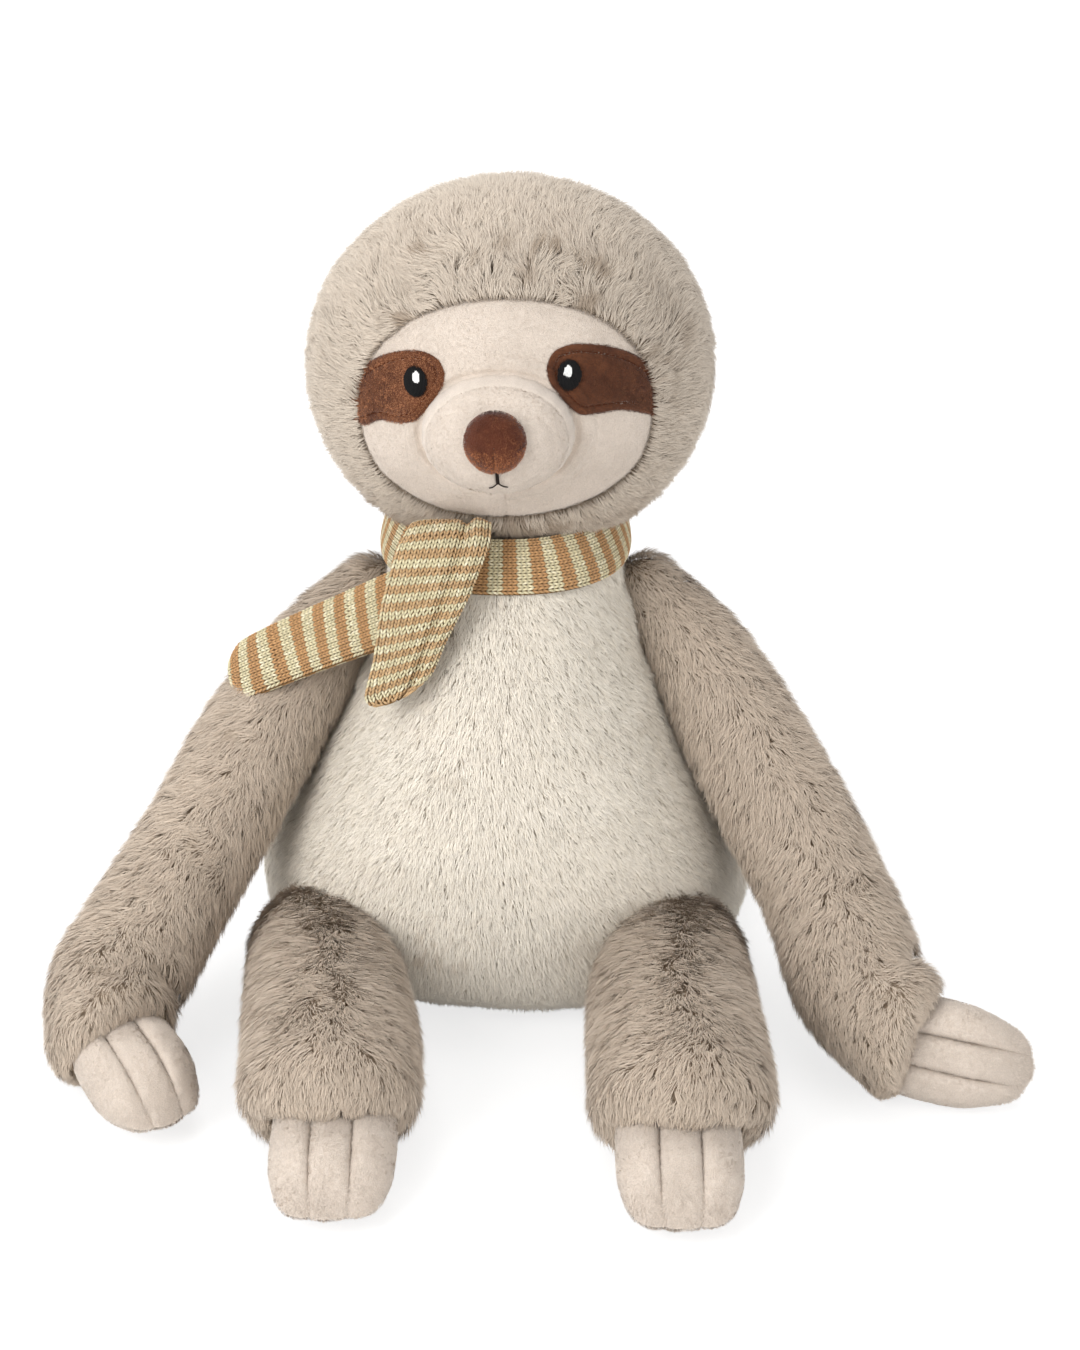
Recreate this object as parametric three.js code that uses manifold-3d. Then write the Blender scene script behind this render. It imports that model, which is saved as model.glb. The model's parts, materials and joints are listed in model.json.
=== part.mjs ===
// A plush sloth that sits on a table: fur hood and velour face, two-panel fur body with a
// bean bag in its seat, long stuffed arms, short stuffed legs, three-clawed velour hands
// and feet, and a knitted scarf tied round the neck. Millimetres, +Z up, the face looks
// along -Y, and the origin is the middle of the flat seat. Right and left are the toy's own.
import * as THREE from 'three';
import { mergeVertices } from 'three/addons/utils/BufferGeometryUtils.js';
import Module from 'manifold-3d';

const wasm = await Module();
wasm.setup();

// Fits between the pieces
const clearance = 0.3;
const motionClearance = 0.6;
const overrun = 20;
const furBacking = 5;
const velourThickness = 3;
const seatThickness = furBacking;

// Body: a pear that widens to the seat, with the belly ahead of the side seams
const torsoHeight = 168;
const torsoHalfWidth = 91;
const bellyDepth = 98;
const backDepth = 80;
const torsoRoundness = 2.3;
const sideSeamSetback = 2;
const beanBagHalfWidth = 62;
const beanBagHeight = 30;

// Head: wider than it is deep, sunk into the neck seat, turned and tipped a little
const headHalfWidth = 68;
const headHalfDepth = 62;
const headHalfHeight = 64;
const headSink = 16.5;
const headAhead = 1;
const hoodThickness = 7;
const neckPlugRadius = 20;
const neckPlugHeight = 22;
const headTurnDegrees = -2;
const headTipDegrees = -2.5;

// Face panel, muzzle and nose
const faceHalfWidth = 49.5;
const faceHalfHeight = 37;
const faceSetback = 2.5;
const muzzleHalfWidth = 26;
const muzzleHalfHeight = 20.5;
const muzzleHalfDepth = 22;
const muzzleProud = 18;
const muzzleDrop = 5;
const noseHalfWidth = 10;
const noseHalfHeight = 10.5;
const noseHalfDepth = 6;
const noseRise = 3.5;
const threadRadius = 0.6;
const threadStandOff = 1.2;
const mouthDrop = 15;
const mouthHeight = 3.4;
const mouthHalfWidth = 2.6;

// Eyes and the brown patches that run out from them to the hood
const eyeSpacing = 50;
const eyeRise = 12;
const eyeHalfWidth = 4;
const eyeHalfHeight = 5;
const eyeHalfDepth = 3.6;
const eyeProud = 2.2;
const glintHalfWidth = 1.3;
const glintHalfHeight = 2.1;
const glintHalfDepth = 1;
const glintRise = 1.6;
const patchThickness = 1.4;
const patchInnerHalfHeight = 10;
const patchOuterHalfHeight = 12;
const patchInnerReach = 9;
const patchOuterDrop = 4;
const patchInnerBulge = 11.7;

// Arms: shoulder, wrist and the swell between them
const shoulderStandOff = 8;
const shoulderAhead = 8;
const armRootRadius = 18;
const shoulderPress = 6;
const armRadius = 23;
const cuffRadius = 20;
const armReachSide = 77;
const armReachForward = 120;

// Legs: hip, ankle and the swell between them
const hipHalfSpacing = 59;
const hipStandOff = 6.5;
const hipPress = 8;
const legsShift = -3;
const legRadius = 27.5;
const ankleRadius = 22;
const legLength = 82;
const rightToeIn = 7;
const leftToeIn = -1.5;

// Hands and feet: three claws side by side on a rounded root
const handRootRadius = 14;
const handLength = 43;
const clawHalfWidth = 7.6;
const clawHalfThickness = 11.5;
const clawSpacing = 12;
const middleClawExtra = 3;
const pawPadHalfLength = 15;
const pawPadHalfWidth = 12;
const pawPadHalfThickness = 6;
const pawMouthRadius = 5;
const cuffSetback = 5;
const cuffHem = 2;

// Scarf: a band round the neck and two tails
const scarfThickness = 6;
const collarHeight = 19;
const collarTopGap = 1;
const tailThickness = 5;
const tailWidth = 27;
const tailTipWidth = 20;

// How far each limb swings up from rest, in degrees, which its seat leaves room for
const armSwingDegrees = 80;
const legLiftDegrees = 45;

// Facets round a section, rings over a rounded root, and stops in a limb's sweep
const torsoSides = 24;
const limbSides = 10;
const rootRings = 3;
const roomStops = 6;
const headSides = 20;
const headRings = 12;
const smallSides = 8;
const smallRings = 6;
const threadSides = 6;
const threadRings = 4;

// Places that the rest is hung from
const bodyMiddle = new THREE.Vector3(0, -sideSeamSetback, 0);
const torsoHeightShares = [0, 0.02, 0.07, 0.15, 0.26, 0.38, 0.5, 0.62, 0.74, 0.85, 0.94, 1];
const torsoWidthShares = [0.81, 0.88, 0.96, 1, 0.985, 0.88, 0.745, 0.625, 0.535, 0.475, 0.445, 0.4];
const torsoFrontShares = [0.74, 0.85, 0.94, 0.985, 1, 0.975, 0.915, 0.83, 0.73, 0.625, 0.53, 0.44];
const torsoBackShares = [0.8, 0.88, 0.95, 1, 0.99, 0.94, 0.86, 0.77, 0.69, 0.62, 0.56, 0.5];
const shoulderHeightShare = 0.84;

// The value of a table of shares at a height share between 0 and 1.
function shareAt(shares, heightShare) {
  const stations = torsoHeightShares;
  let i = 1;
  while (i < stations.length - 1 && stations[i] < heightShare) {
    i += 1;
  }
  const t = (heightShare - stations[i - 1]) / (stations[i] - stations[i - 1]);
  return THREE.MathUtils.lerp(shares[i - 1], shares[i], THREE.MathUtils.clamp(t, 0, 1));
}

// How far forward of the side seams the belly stands at a height and a distance from the middle.
function bellyReach(x, z) {
  const half = torsoHalfWidth * shareAt(torsoWidthShares, z / torsoHeight);
  const depth = bellyDepth * shareAt(torsoFrontShares, z / torsoHeight);
  return depth * (1 - Math.abs(x / half) ** torsoRoundness) ** (1 / torsoRoundness);
}

const shoulderHeight = torsoHeight * shoulderHeightShare;
const shoulderHalfSpacing =
  torsoHalfWidth * shareAt(torsoWidthShares, shoulderHeightShare) + shoulderStandOff;
const headMiddle = new THREE.Vector3(
  0,
  bodyMiddle.y - headAhead,
  torsoHeight + headHalfHeight - headSink,
);

// Solids
function toSolid(geometry) {
  const bare = geometry.clone();
  bare.deleteAttribute('normal');
  bare.deleteAttribute('uv');
  const closed = mergeVertices(bare);
  return new wasm.Manifold(
    new wasm.Mesh({
      numProp: 3,
      vertProperties: new Float32Array(closed.attributes.position.array),
      triVerts: new Uint32Array(closed.index.array),
    }),
  );
}

function toGeometry(solid) {
  const mesh = solid.getMesh();
  const geometry = new THREE.BufferGeometry();
  geometry.setAttribute('position', new THREE.BufferAttribute(new Float32Array(mesh.vertProperties), 3));
  geometry.setIndex(new THREE.BufferAttribute(new Uint32Array(mesh.triVerts), 1));
  return geometry;
}

function joined(solids) {
  return solids.reduce((whole, solid) => whole.add(solid));
}

function cutBy(solid, cutters) {
  return cutters.reduce((left, cutter) => left.subtract(cutter), solid);
}

// A closed body through rings of points, from a first pole to a last pole.
function lofted(firstPole, rings, lastPole) {
  const sides = rings[0].length;
  const points = [firstPole, ...rings.flat(), lastPole];
  const index = [];
  const at = (ring, k) => 1 + ring * sides + (k % sides);
  const last = points.length - 1;
  for (let k = 0; k < sides; k += 1) {
    index.push(0, at(0, k + 1), at(0, k));
    index.push(last, at(rings.length - 1, k), at(rings.length - 1, k + 1));
    for (let ring = 0; ring + 1 < rings.length; ring += 1) {
      index.push(at(ring, k), at(ring, k + 1), at(ring + 1, k));
      index.push(at(ring, k + 1), at(ring + 1, k + 1), at(ring + 1, k));
    }
  }
  const geometry = new THREE.BufferGeometry().setFromPoints(points);
  geometry.setIndex(index);
  return toSolid(geometry);
}

function ellipsoid(centre, halfX, halfY, halfZ, sides = smallSides, rings = smallRings) {
  const ball = new THREE.SphereGeometry(1, sides, rings);
  ball.rotateX(Math.PI / 2);
  ball.scale(halfX, halfY, halfZ);
  ball.translate(centre.x, centre.y, centre.z);
  return toSolid(ball);
}

function ball(centre, radius, sides, rings) {
  return ellipsoid(centre, radius, radius, radius, sides, rings);
}

// A block that fills everything on one side of a level or an upright plane.
function blockBetween(low, high) {
  const block = new THREE.BoxGeometry(high.x - low.x, high.y - low.y, high.z - low.z);
  block.translate((low.x + high.x) / 2, (low.y + high.y) / 2, (low.z + high.z) / 2);
  return toSolid(block);
}

// An upright-ended drum from one point to another.
function drum(from, to, radius, sides = smallSides) {
  const along = new THREE.Vector3().subVectors(to, from);
  const rod = new THREE.CylinderGeometry(radius, radius, along.length(), sides);
  const turn = new THREE.Quaternion().setFromUnitVectors(
    new THREE.Vector3(0, 1, 0),
    along.clone().normalize(),
  );
  rod.applyQuaternion(turn);
  rod.translate((from.x + to.x) / 2, (from.y + to.y) / 2, (from.z + to.z) / 2);
  return toSolid(rod);
}

function turnedAbout(solid, pivot, axis, degrees) {
  const geometry = toGeometry(solid);
  geometry.translate(-pivot.x, -pivot.y, -pivot.z);
  geometry.applyQuaternion(
    new THREE.Quaternion().setFromAxisAngle(axis, THREE.MathUtils.degToRad(degrees)),
  );
  geometry.translate(pivot.x, pivot.y, pivot.z);
  return toSolid(geometry);
}

// Outer forms
function torsoForm(grow) {
  const sections = torsoHeightShares.map((share, i) => {
    const z = -grow + share * (torsoHeight + 2 * grow);
    const half = torsoHalfWidth * torsoWidthShares[i] + grow;
    const front = bellyDepth * torsoFrontShares[i] + grow;
    const back = backDepth * torsoBackShares[i] + grow;
    const ring = [];
    for (let k = 0; k < torsoSides; k += 1) {
      const angle = (2 * Math.PI * k) / torsoSides;
      const c = Math.cos(angle);
      const s = Math.sin(angle);
      const depth = s < 0 ? front : back;
      const x = Math.sign(c) * half * Math.abs(c) ** (2 / torsoRoundness);
      const y = Math.sign(s) * depth * Math.abs(s) ** (2 / torsoRoundness);
      ring.push(new THREE.Vector3(bodyMiddle.x + x, bodyMiddle.y + y, z));
    }
    return ring;
  });
  const foot = new THREE.Vector3(bodyMiddle.x, bodyMiddle.y, -grow);
  const top = new THREE.Vector3(bodyMiddle.x, bodyMiddle.y, torsoHeight + grow);
  return lofted(foot, sections, top);
}

function headForm(grow) {
  return ellipsoid(
    headMiddle,
    headHalfWidth + grow,
    headHalfDepth + grow,
    headHalfHeight + grow,
    headSides,
    headRings,
  );
}

// The room that the head needs as it turns about the upright and nods about the cross axis.
// Its facets lie outside the round that the head sweeps.
function headRoom(sides = headSides, rings = headRings) {
  const facetSlack = headHalfWidth / Math.cos(Math.PI / sides) - headHalfWidth;
  const round = headHalfWidth + motionClearance + facetSlack;
  const halfHeight = headHalfHeight + motionClearance + facetSlack / 2;
  return ellipsoid(headMiddle, round, round, halfHeight, sides, rings);
}

// A stuffed limb: a round root about its pivot, rings along its path, and a mouth that
// turns to where its hand or foot points. It lies flat where it meets the table.
function limbForm(limb, grow, reachShare = 1) {
  const rings = [];
  const up = new THREE.Vector3(0, 0, 1);
  const start = limb.path.getPointAt(0);
  const startAlong = limb.path.getTangentAt(0);
  const rootRadius = limb.rootRadius + grow;
  const addRing = (centre, along, radius) => {
    const side = new THREE.Vector3().crossVectors(up, along).normalize();
    const over = new THREE.Vector3().crossVectors(along, side);
    const ring = [];
    for (let k = 0; k < limbSides; k += 1) {
      const angle = (2 * Math.PI * k) / limbSides;
      const point = centre.clone();
      point.addScaledVector(side, radius * Math.cos(angle));
      point.addScaledVector(over, radius * Math.sin(angle));
      point.z = Math.max(point.z, -grow);
      ring.push(point);
    }
    rings.push(ring);
  };
  for (let i = 1; i <= rootRings; i += 1) {
    const lean = (i / rootRings) * (Math.PI / 2);
    const centre = start.clone().addScaledVector(startAlong, -rootRadius * Math.cos(lean));
    addRing(centre, startAlong, rootRadius * Math.sin(lean));
  }
  limb.swellShares
    .filter(([pathShare]) => pathShare <= reachShare)
    .forEach(([pathShare, radiusShare]) => {
      const radius = radiusShare * limb.radius + grow;
      addRing(limb.path.getPointAt(pathShare), limb.path.getTangentAt(pathShare), radius);
    });
  if (reachShare === 1) {
    const wrist = limb.path.getPointAt(1);
    const bend = limb.path.getTangentAt(1).add(limb.pointing).normalize();
    const mouth = wrist.clone().addScaledVector(limb.pointing, limb.cuffRadius);
    addRing(wrist, bend, limb.cuffRadius + grow);
    addRing(mouth, limb.pointing, limb.cuffRadius + grow);
  }
  const lastRing = rings[rings.length - 1];
  const end = lastRing
    .reduce((sum, point) => sum.add(point), new THREE.Vector3())
    .divideScalar(limbSides);
  const firstPole = start.clone().addScaledVector(startAlong, -rootRadius);
  return lofted(firstPole, rings, end);
}

// The room that a limb needs in the body as it moves from rest to its far limit.
function limbRoom(limb) {
  const grown = limbForm(limb, motionClearance, limb.seatShare);
  const stops = [];
  for (let i = 0; i <= roomStops; i += 1) {
    const degrees = limb.reachDegrees * (i / roomStops);
    stops.push(turnedAbout(grown, limb.pivot, limb.axis, degrees));
  }
  return joined(stops);
}

// Where each limb leaves its seat in the body, as a share of its length
const armSeatShare = 0.45;
const legSeatShare = 0.6;
const armSwellShares = [
  [0.1, 0.88],
  [0.25, 1],
  [0.42, 1],
  [0.58, 1],
  [0.74, 1.02],
  [0.88, 0.98],
];
const legSwellShares = [
  [0.25, 1],
  [0.55, 1],
  [0.8, 0.98],
  [0.93, 0.9],
];

function armLimb(side, pathShares, pointing) {
  const pivot = new THREE.Vector3(
    side * shoulderHalfSpacing,
    bodyMiddle.y - shoulderAhead,
    shoulderHeight,
  );
  const points = pathShares.map(
    ([outShare, aheadShare, heightShare]) =>
      new THREE.Vector3(
        pivot.x + side * armReachSide * outShare,
        pivot.y - armReachForward * aheadShare,
        pivot.z * heightShare,
      ),
  );
  return {
    pivot,
    path: new THREE.CatmullRomCurve3(points),
    pointing: pointing.clone().normalize(),
    axis: new THREE.Vector3(-1, 0, 0),
    rootRadius: armRootRadius,
    radius: armRadius,
    cuffRadius,
    swellShares: armSwellShares,
    seatShare: armSeatShare,
    pressedIn: shoulderPress,
    reachDegrees: armSwingDegrees,
  };
}

const rightArmPathShares = [
  [0, 0, 1],
  [0.22, 0.09, 0.845],
  [0.43, 0.2, 0.69],
  [0.69, 0.45, 0.447],
  [0.91, 0.73, 0.27],
  [1, 0.91, 0.2],
  [0.975, 1.01, 0.15],
];
const leftArmPathShares = [
  [0, 0, 1],
  [0.17, 0.075, 0.85],
  [0.35, 0.18, 0.71],
  [0.585, 0.39, 0.51],
  [0.755, 0.625, 0.33],
  [0.857, 0.85, 0.206],
  [1.02, 0.985, 0.164],
];

function legLimb(side, toeIn, pointing) {
  const x = side * hipHalfSpacing + legsShift;
  const pivot = new THREE.Vector3(
    x,
    bodyMiddle.y - bellyReach(x, legRadius) - hipStandOff,
    legRadius,
  );
  const points = [0, 0.5, 1].map(
    (share) =>
      new THREE.Vector3(
        pivot.x - side * toeIn * share,
        pivot.y - legLength * share,
        THREE.MathUtils.lerp(legRadius, ankleRadius, share),
      ),
  );
  return {
    pivot,
    path: new THREE.CatmullRomCurve3(points),
    pointing: pointing.clone().normalize(),
    axis: new THREE.Vector3(-1, 0, 0),
    rootRadius: legRadius,
    radius: legRadius,
    cuffRadius: ankleRadius,
    swellShares: legSwellShares,
    seatShare: legSeatShare,
    pressedIn: hipPress,
    reachDegrees: legLiftDegrees,
  };
}

// Where each hand and foot points, and where its broad side faces
const rightHandPointing = new THREE.Vector3(0.5, -0.8, -0.26);
const rightHandFacing = new THREE.Vector3(0.1, -0.35, 0.93);
const leftHandPointing = new THREE.Vector3(0.96, -0.22, -0.12);
const leftHandFacing = new THREE.Vector3(0, -0.91, 0.41);
const footPointing = new THREE.Vector3(0, -1, -0.32);
const footFacing = new THREE.Vector3(0, 0, 1);

const rightArm = armLimb(-1, rightArmPathShares, rightHandPointing);
const leftArm = armLimb(1, leftArmPathShares, leftHandPointing);
const rightLeg = legLimb(-1, rightToeIn, footPointing);
const leftLeg = legLimb(1, leftToeIn, footPointing);

// Hands and feet
function paw(limb, facing) {
  const along = limb.pointing;
  const across = new THREE.Vector3().crossVectors(facing, along).normalize();
  const thick = new THREE.Vector3().crossVectors(along, across);
  return { pivot: limb.path.getPointAt(1), along, across, thick };
}

// A point on a paw, by its distance along, across and through it.
function pawPoint(hand, along, across) {
  return hand.pivot
    .clone()
    .addScaledVector(hand.along, along)
    .addScaledVector(hand.across, across);
}

const clawThicknessShares = [0.92, 1.04, 1.02, 0.85, 0.5];
const clawWidthShares = [0.9, 1.04, 1.04, 0.92, 0.55];
const clawRootShare = 0.85;
const clawLengthShares = [0.05, 0.32, 0.66, 0.89, 0.98];

function claw(hand, place, grow) {
  const length = handLength + grow + (place === 0 ? middleClawExtra : 0);
  const rootPlace = place * clawSpacing * clawRootShare;
  const tipPlace = place * clawSpacing;
  const rings = clawLengthShares.map((share, i) => {
    const centre = pawPoint(hand, length * share, THREE.MathUtils.lerp(rootPlace, tipPlace, share));
    const halfWidth = clawHalfWidth * clawWidthShares[i] + grow;
    const halfThickness = clawHalfThickness * clawThicknessShares[i] + grow;
    const ring = [];
    for (let k = 0; k < smallSides; k += 1) {
      const angle = (2 * Math.PI * k) / smallSides;
      const point = centre.clone();
      point.addScaledVector(hand.across, halfWidth * Math.cos(angle));
      point.addScaledVector(hand.thick, halfThickness * Math.sin(angle));
      ring.push(point);
    }
    return ring;
  });
  return lofted(pawPoint(hand, 0, rootPlace), rings, pawPoint(hand, length, tipPlace));
}

function pawForm(hand, grow) {
  const claws = [-1, 0, 1].map((place) => claw(hand, place, grow));
  return joined([ball(hand.pivot, handRootRadius + grow), ...claws]);
}

// The room that a hand or foot needs in its cuff as it bends: a ball about its root, and
// everything ahead of the cuff's edge.
function pawRoom(hand, setback) {
  const cuffEdge = pawPoint(hand, -cuffSetback - setback, 0);
  return [
    ball(hand.pivot, handRootRadius + motionClearance, headSides, headRings),
    drum(cuffEdge, pawPoint(hand, handLength, 0), cuffRadius + furBacking, limbSides),
  ];
}

function pawPad(hand, grow) {
  const pad = new THREE.SphereGeometry(1, smallSides, smallRings);
  pad.scale(pawPadHalfLength + grow, pawPadHalfWidth + grow, pawPadHalfThickness + grow);
  pad.applyMatrix4(new THREE.Matrix4().makeBasis(hand.along, hand.across, hand.thick));
  const centre = pawPoint(hand, handLength / 2, 0);
  pad.translate(centre.x, centre.y, centre.z);
  return toSolid(pad);
}

function pawSkin(hand) {
  const mouth = drum(
    pawPoint(hand, -handRootRadius - overrun, 0),
    pawPoint(hand, handLength / 2, 0),
    pawMouthRadius,
  );
  return cutBy(pawForm(hand, 0), [pawPad(hand, clearance), mouth]);
}

// Pieces of a limb: the fur sleeve, open at its cuff, and the stuffing inside it
function sleeve(limb, hand) {
  return cutBy(limbForm(limb, 0), [limbForm(limb, -furBacking), ...pawRoom(hand, 0)]);
}

function limbStuffing(limb, hand) {
  return cutBy(limbForm(limb, -furBacking - 2 * clearance), pawRoom(hand, cuffHem));
}

const rightHand = paw(rightArm, rightHandFacing);
const leftHand = paw(leftArm, leftHandFacing);
const rightFoot = paw(rightLeg, footFacing);
const leftFoot = paw(leftLeg, footFacing);

// Body
const limbRooms = [rightArm, leftArm, rightLeg, leftLeg].map(limbRoom);
const neckHole = (grow) =>
  drum(
    new THREE.Vector3(headMiddle.x, headMiddle.y, torsoHeight - headSink - neckPlugHeight),
    new THREE.Vector3(headMiddle.x, headMiddle.y, torsoHeight + overrun),
    neckPlugRadius + grow,
    headSides,
  );
const bodyLow = new THREE.Vector3(
  -torsoHalfWidth - overrun,
  -bellyDepth - backDepth,
  -overrun,
);
const bodyHigh = new THREE.Vector3(
  torsoHalfWidth + overrun,
  bellyDepth + backDepth,
  torsoHeight + overrun,
);
const frontHalf = blockBetween(bodyLow, new THREE.Vector3(bodyHigh.x, bodyMiddle.y, bodyHigh.z));
const backHalf = blockBetween(
  new THREE.Vector3(bodyLow.x, bodyMiddle.y + clearance, bodyLow.z),
  bodyHigh,
);
const seatBlock = (top) => blockBetween(bodyLow, new THREE.Vector3(bodyHigh.x, bodyHigh.y, top));

const torsoSkin = cutBy(torsoForm(0), [
  torsoForm(-furBacking),
  headRoom(),
  neckHole(clearance),
  seatBlock(seatThickness + clearance),
  ...limbRooms,
]);
const seatPanel = cutBy(torsoForm(0).intersect(seatBlock(seatThickness)), limbRooms);

// The stuffing is dished wherever a limb presses in.
function rootHollow(limb) {
  return ball(limb.pivot, limb.rootRadius + limb.pressedIn, limbSides, smallRings).add(
    limbForm(limb, motionClearance, limb.seatShare),
  );
}

const beanBagRings = 6;
const beanBagEdgePower = 0.5;
function beanBag(grow) {
  const profile = [];
  const half = beanBagHeight / 2 + grow;
  for (let i = 0; i <= beanBagRings; i += 1) {
    const lean = Math.PI * (i / beanBagRings) - Math.PI / 2;
    const atPole = i % beanBagRings === 0;
    const radius = atPole ? 0 : (beanBagHalfWidth + grow) * Math.cos(lean) ** beanBagEdgePower;
    profile.push(new THREE.Vector2(radius, half * Math.sin(lean)));
  }
  const bag = new THREE.LatheGeometry(profile, torsoSides);
  bag.rotateX(Math.PI / 2);
  const middle = seatThickness + 2 * clearance + beanBagHeight / 2;
  bag.translate(bodyMiddle.x, bodyMiddle.y, middle);
  return toSolid(bag);
}

const torsoStuffing = cutBy(torsoForm(-furBacking - clearance), [
  headRoom(),
  neckHole(clearance),
  seatBlock(seatThickness + beanBagHeight / 2),
  beanBag(clearance),
  ...[rightArm, leftArm, rightLeg, leftLeg].map(rootHollow),
]);
const neckPlug = neckHole(0)
  .intersect(seatBlock(torsoHeight))
  .subtract(headRoom(2 * headSides, 2 * headRings));

// Head
function faceColumn(grow) {
  const outline = new THREE.Shape();
  outline.absellipse(0, 0, faceHalfWidth + grow, faceHalfHeight + grow, 0, 2 * Math.PI);
  const column = new THREE.ExtrudeGeometry(outline, {
    depth: headHalfDepth + overrun,
    bevelEnabled: false,
    curveSegments: headSides / 2,
  });
  column.rotateX(Math.PI / 2);
  column.translate(headMiddle.x, headMiddle.y, headMiddle.z);
  return toSolid(column);
}

const muzzleMiddle = new THREE.Vector3(
  headMiddle.x,
  headMiddle.y - headHalfDepth + muzzleHalfDepth - muzzleProud,
  headMiddle.z - muzzleDrop,
);
function muzzleForm(grow) {
  return ellipsoid(
    muzzleMiddle,
    muzzleHalfWidth + grow,
    muzzleHalfDepth + grow,
    muzzleHalfHeight + grow,
    headSides,
    headRings,
  );
}

// A point on a form's front, stood off by a distance, at a place across and above its middle.
function onFront(middle, halves, x, z, standOff) {
  const share = 1 - (x / halves.x) ** 2 - (z / halves.z) ** 2;
  const point = new THREE.Vector3(x, -halves.y * Math.sqrt(share), z);
  const out = new THREE.Vector3(
    point.x / halves.x ** 2,
    point.y / halves.y ** 2,
    point.z / halves.z ** 2,
  );
  return point.add(middle).addScaledVector(out.normalize(), standOff);
}

const headHalves = new THREE.Vector3(headHalfWidth, headHalfDepth, headHalfHeight);
const faceHalves = headHalves.clone().subScalar(faceSetback);
const muzzleHalves = new THREE.Vector3(muzzleHalfWidth, muzzleHalfDepth, muzzleHalfHeight);

const coreInset = Math.max(hoodThickness, faceSetback + velourThickness) + clearance;
const headHood = cutBy(headForm(0), [
  headForm(-hoodThickness),
  faceColumn(clearance),
  muzzleForm(clearance),
]);
const facePanel = cutBy(headForm(-faceSetback).intersect(faceColumn(0)), [
  headForm(-faceSetback - velourThickness),
  muzzleForm(clearance),
]);
const headStuffing = headForm(-coreInset);
const muzzle = muzzleForm(0).subtract(headForm(clearance - coreInset));

const nose = ellipsoid(
  onFront(muzzleMiddle, muzzleHalves, 0, noseRise, 0),
  noseHalfWidth,
  noseHalfDepth,
  noseHalfHeight,
).subtract(muzzleForm(clearance));

// The mouth is an upright stitch that forks into two short ones, lying on the muzzle.
function mouthStitch() {
  const top = onFront(muzzleMiddle, muzzleHalves, 0, noseRise - mouthDrop, threadStandOff);
  const forkHeight = noseRise - mouthDrop - mouthHeight / 2;
  const fork = onFront(muzzleMiddle, muzzleHalves, 0, forkHeight, threadStandOff);
  const tips = [-1, 1].map((side) =>
    onFront(
      muzzleMiddle,
      muzzleHalves,
      side * mouthHalfWidth,
      noseRise - mouthDrop - mouthHeight,
      threadStandOff,
    ),
  );
  const knots = [top, fork, ...tips].map((point) => ball(point, threadRadius, threadSides, threadRings));
  const threads = [top, ...tips].map((point) => drum(fork, point, threadRadius, threadSides));
  return cutBy(joined([...knots, ...threads]), [muzzleForm(clearance)]);
}

// The patch is a rounded band from inside the eye to the hood, drawn on the face's front.
function eyePatch(side) {
  const eyeX = (side * eyeSpacing) / 2;
  const innerX = eyeX - side * patchInnerBulge;
  const outline = new THREE.Shape();
  outline.moveTo(side * faceHalfWidth, eyeRise - patchOuterDrop - patchOuterHalfHeight);
  outline.lineTo(side * faceHalfWidth, eyeRise - patchOuterDrop + patchOuterHalfHeight);
  outline.quadraticCurveTo(
    eyeX + side * patchInnerReach,
    eyeRise + patchInnerHalfHeight + patchOuterDrop / 2,
    eyeX,
    eyeRise + patchInnerHalfHeight,
  );
  outline.bezierCurveTo(
    innerX,
    eyeRise + patchInnerHalfHeight,
    innerX,
    eyeRise - patchInnerHalfHeight,
    eyeX,
    eyeRise - patchInnerHalfHeight,
  );
  outline.closePath();
  const sheet = new THREE.ExtrudeGeometry(outline, {
    depth: headHalfDepth + overrun,
    bevelEnabled: false,
    curveSegments: smallRings / 2,
  });
  sheet.rotateX(Math.PI / 2);
  sheet.translate(headMiddle.x, headMiddle.y, headMiddle.z);
  const shell = headForm(clearance + patchThickness - faceSetback);
  return cutBy(shell.intersect(toSolid(sheet)).intersect(faceColumn(0)), [
    headForm(clearance - faceSetback),
    muzzleForm(clearance),
  ]);
}

function eyePlace(side, standOff) {
  return onFront(headMiddle, faceHalves, (side * eyeSpacing) / 2, eyeRise, standOff);
}

function eyeForm(side, grow) {
  return ellipsoid(
    eyePlace(side, clearance + patchThickness + eyeProud - eyeHalfDepth),
    eyeHalfWidth + grow,
    eyeHalfDepth + grow,
    eyeHalfHeight + grow,
  );
}

function eye(side) {
  return eyeForm(side, 0).subtract(headForm(2 * clearance + patchThickness - faceSetback));
}

function glint(side) {
  const place = eyePlace(side, clearance + patchThickness + eyeProud);
  place.z += glintRise;
  return ellipsoid(place, glintHalfWidth, glintHalfDepth, glintHalfHeight).subtract(
    eyeForm(side, clearance),
  );
}

// Scarf
const collarBottom = torsoHeight - collarHeight + collarTopGap;
function collarForm(grow) {
  const band = torsoForm(scarfThickness + grow);
  const low = new THREE.Vector3(bodyLow.x, bodyLow.y, collarBottom - grow);
  const high = new THREE.Vector3(bodyHigh.x, bodyHigh.y, torsoHeight + collarTopGap + grow);
  return band.intersect(blockBetween(low, high));
}
const armRooms = limbRooms.slice(0, 2);
const scarfCollar = cutBy(collarForm(0), [torsoForm(clearance), headRoom(), ...armRooms]);

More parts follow.
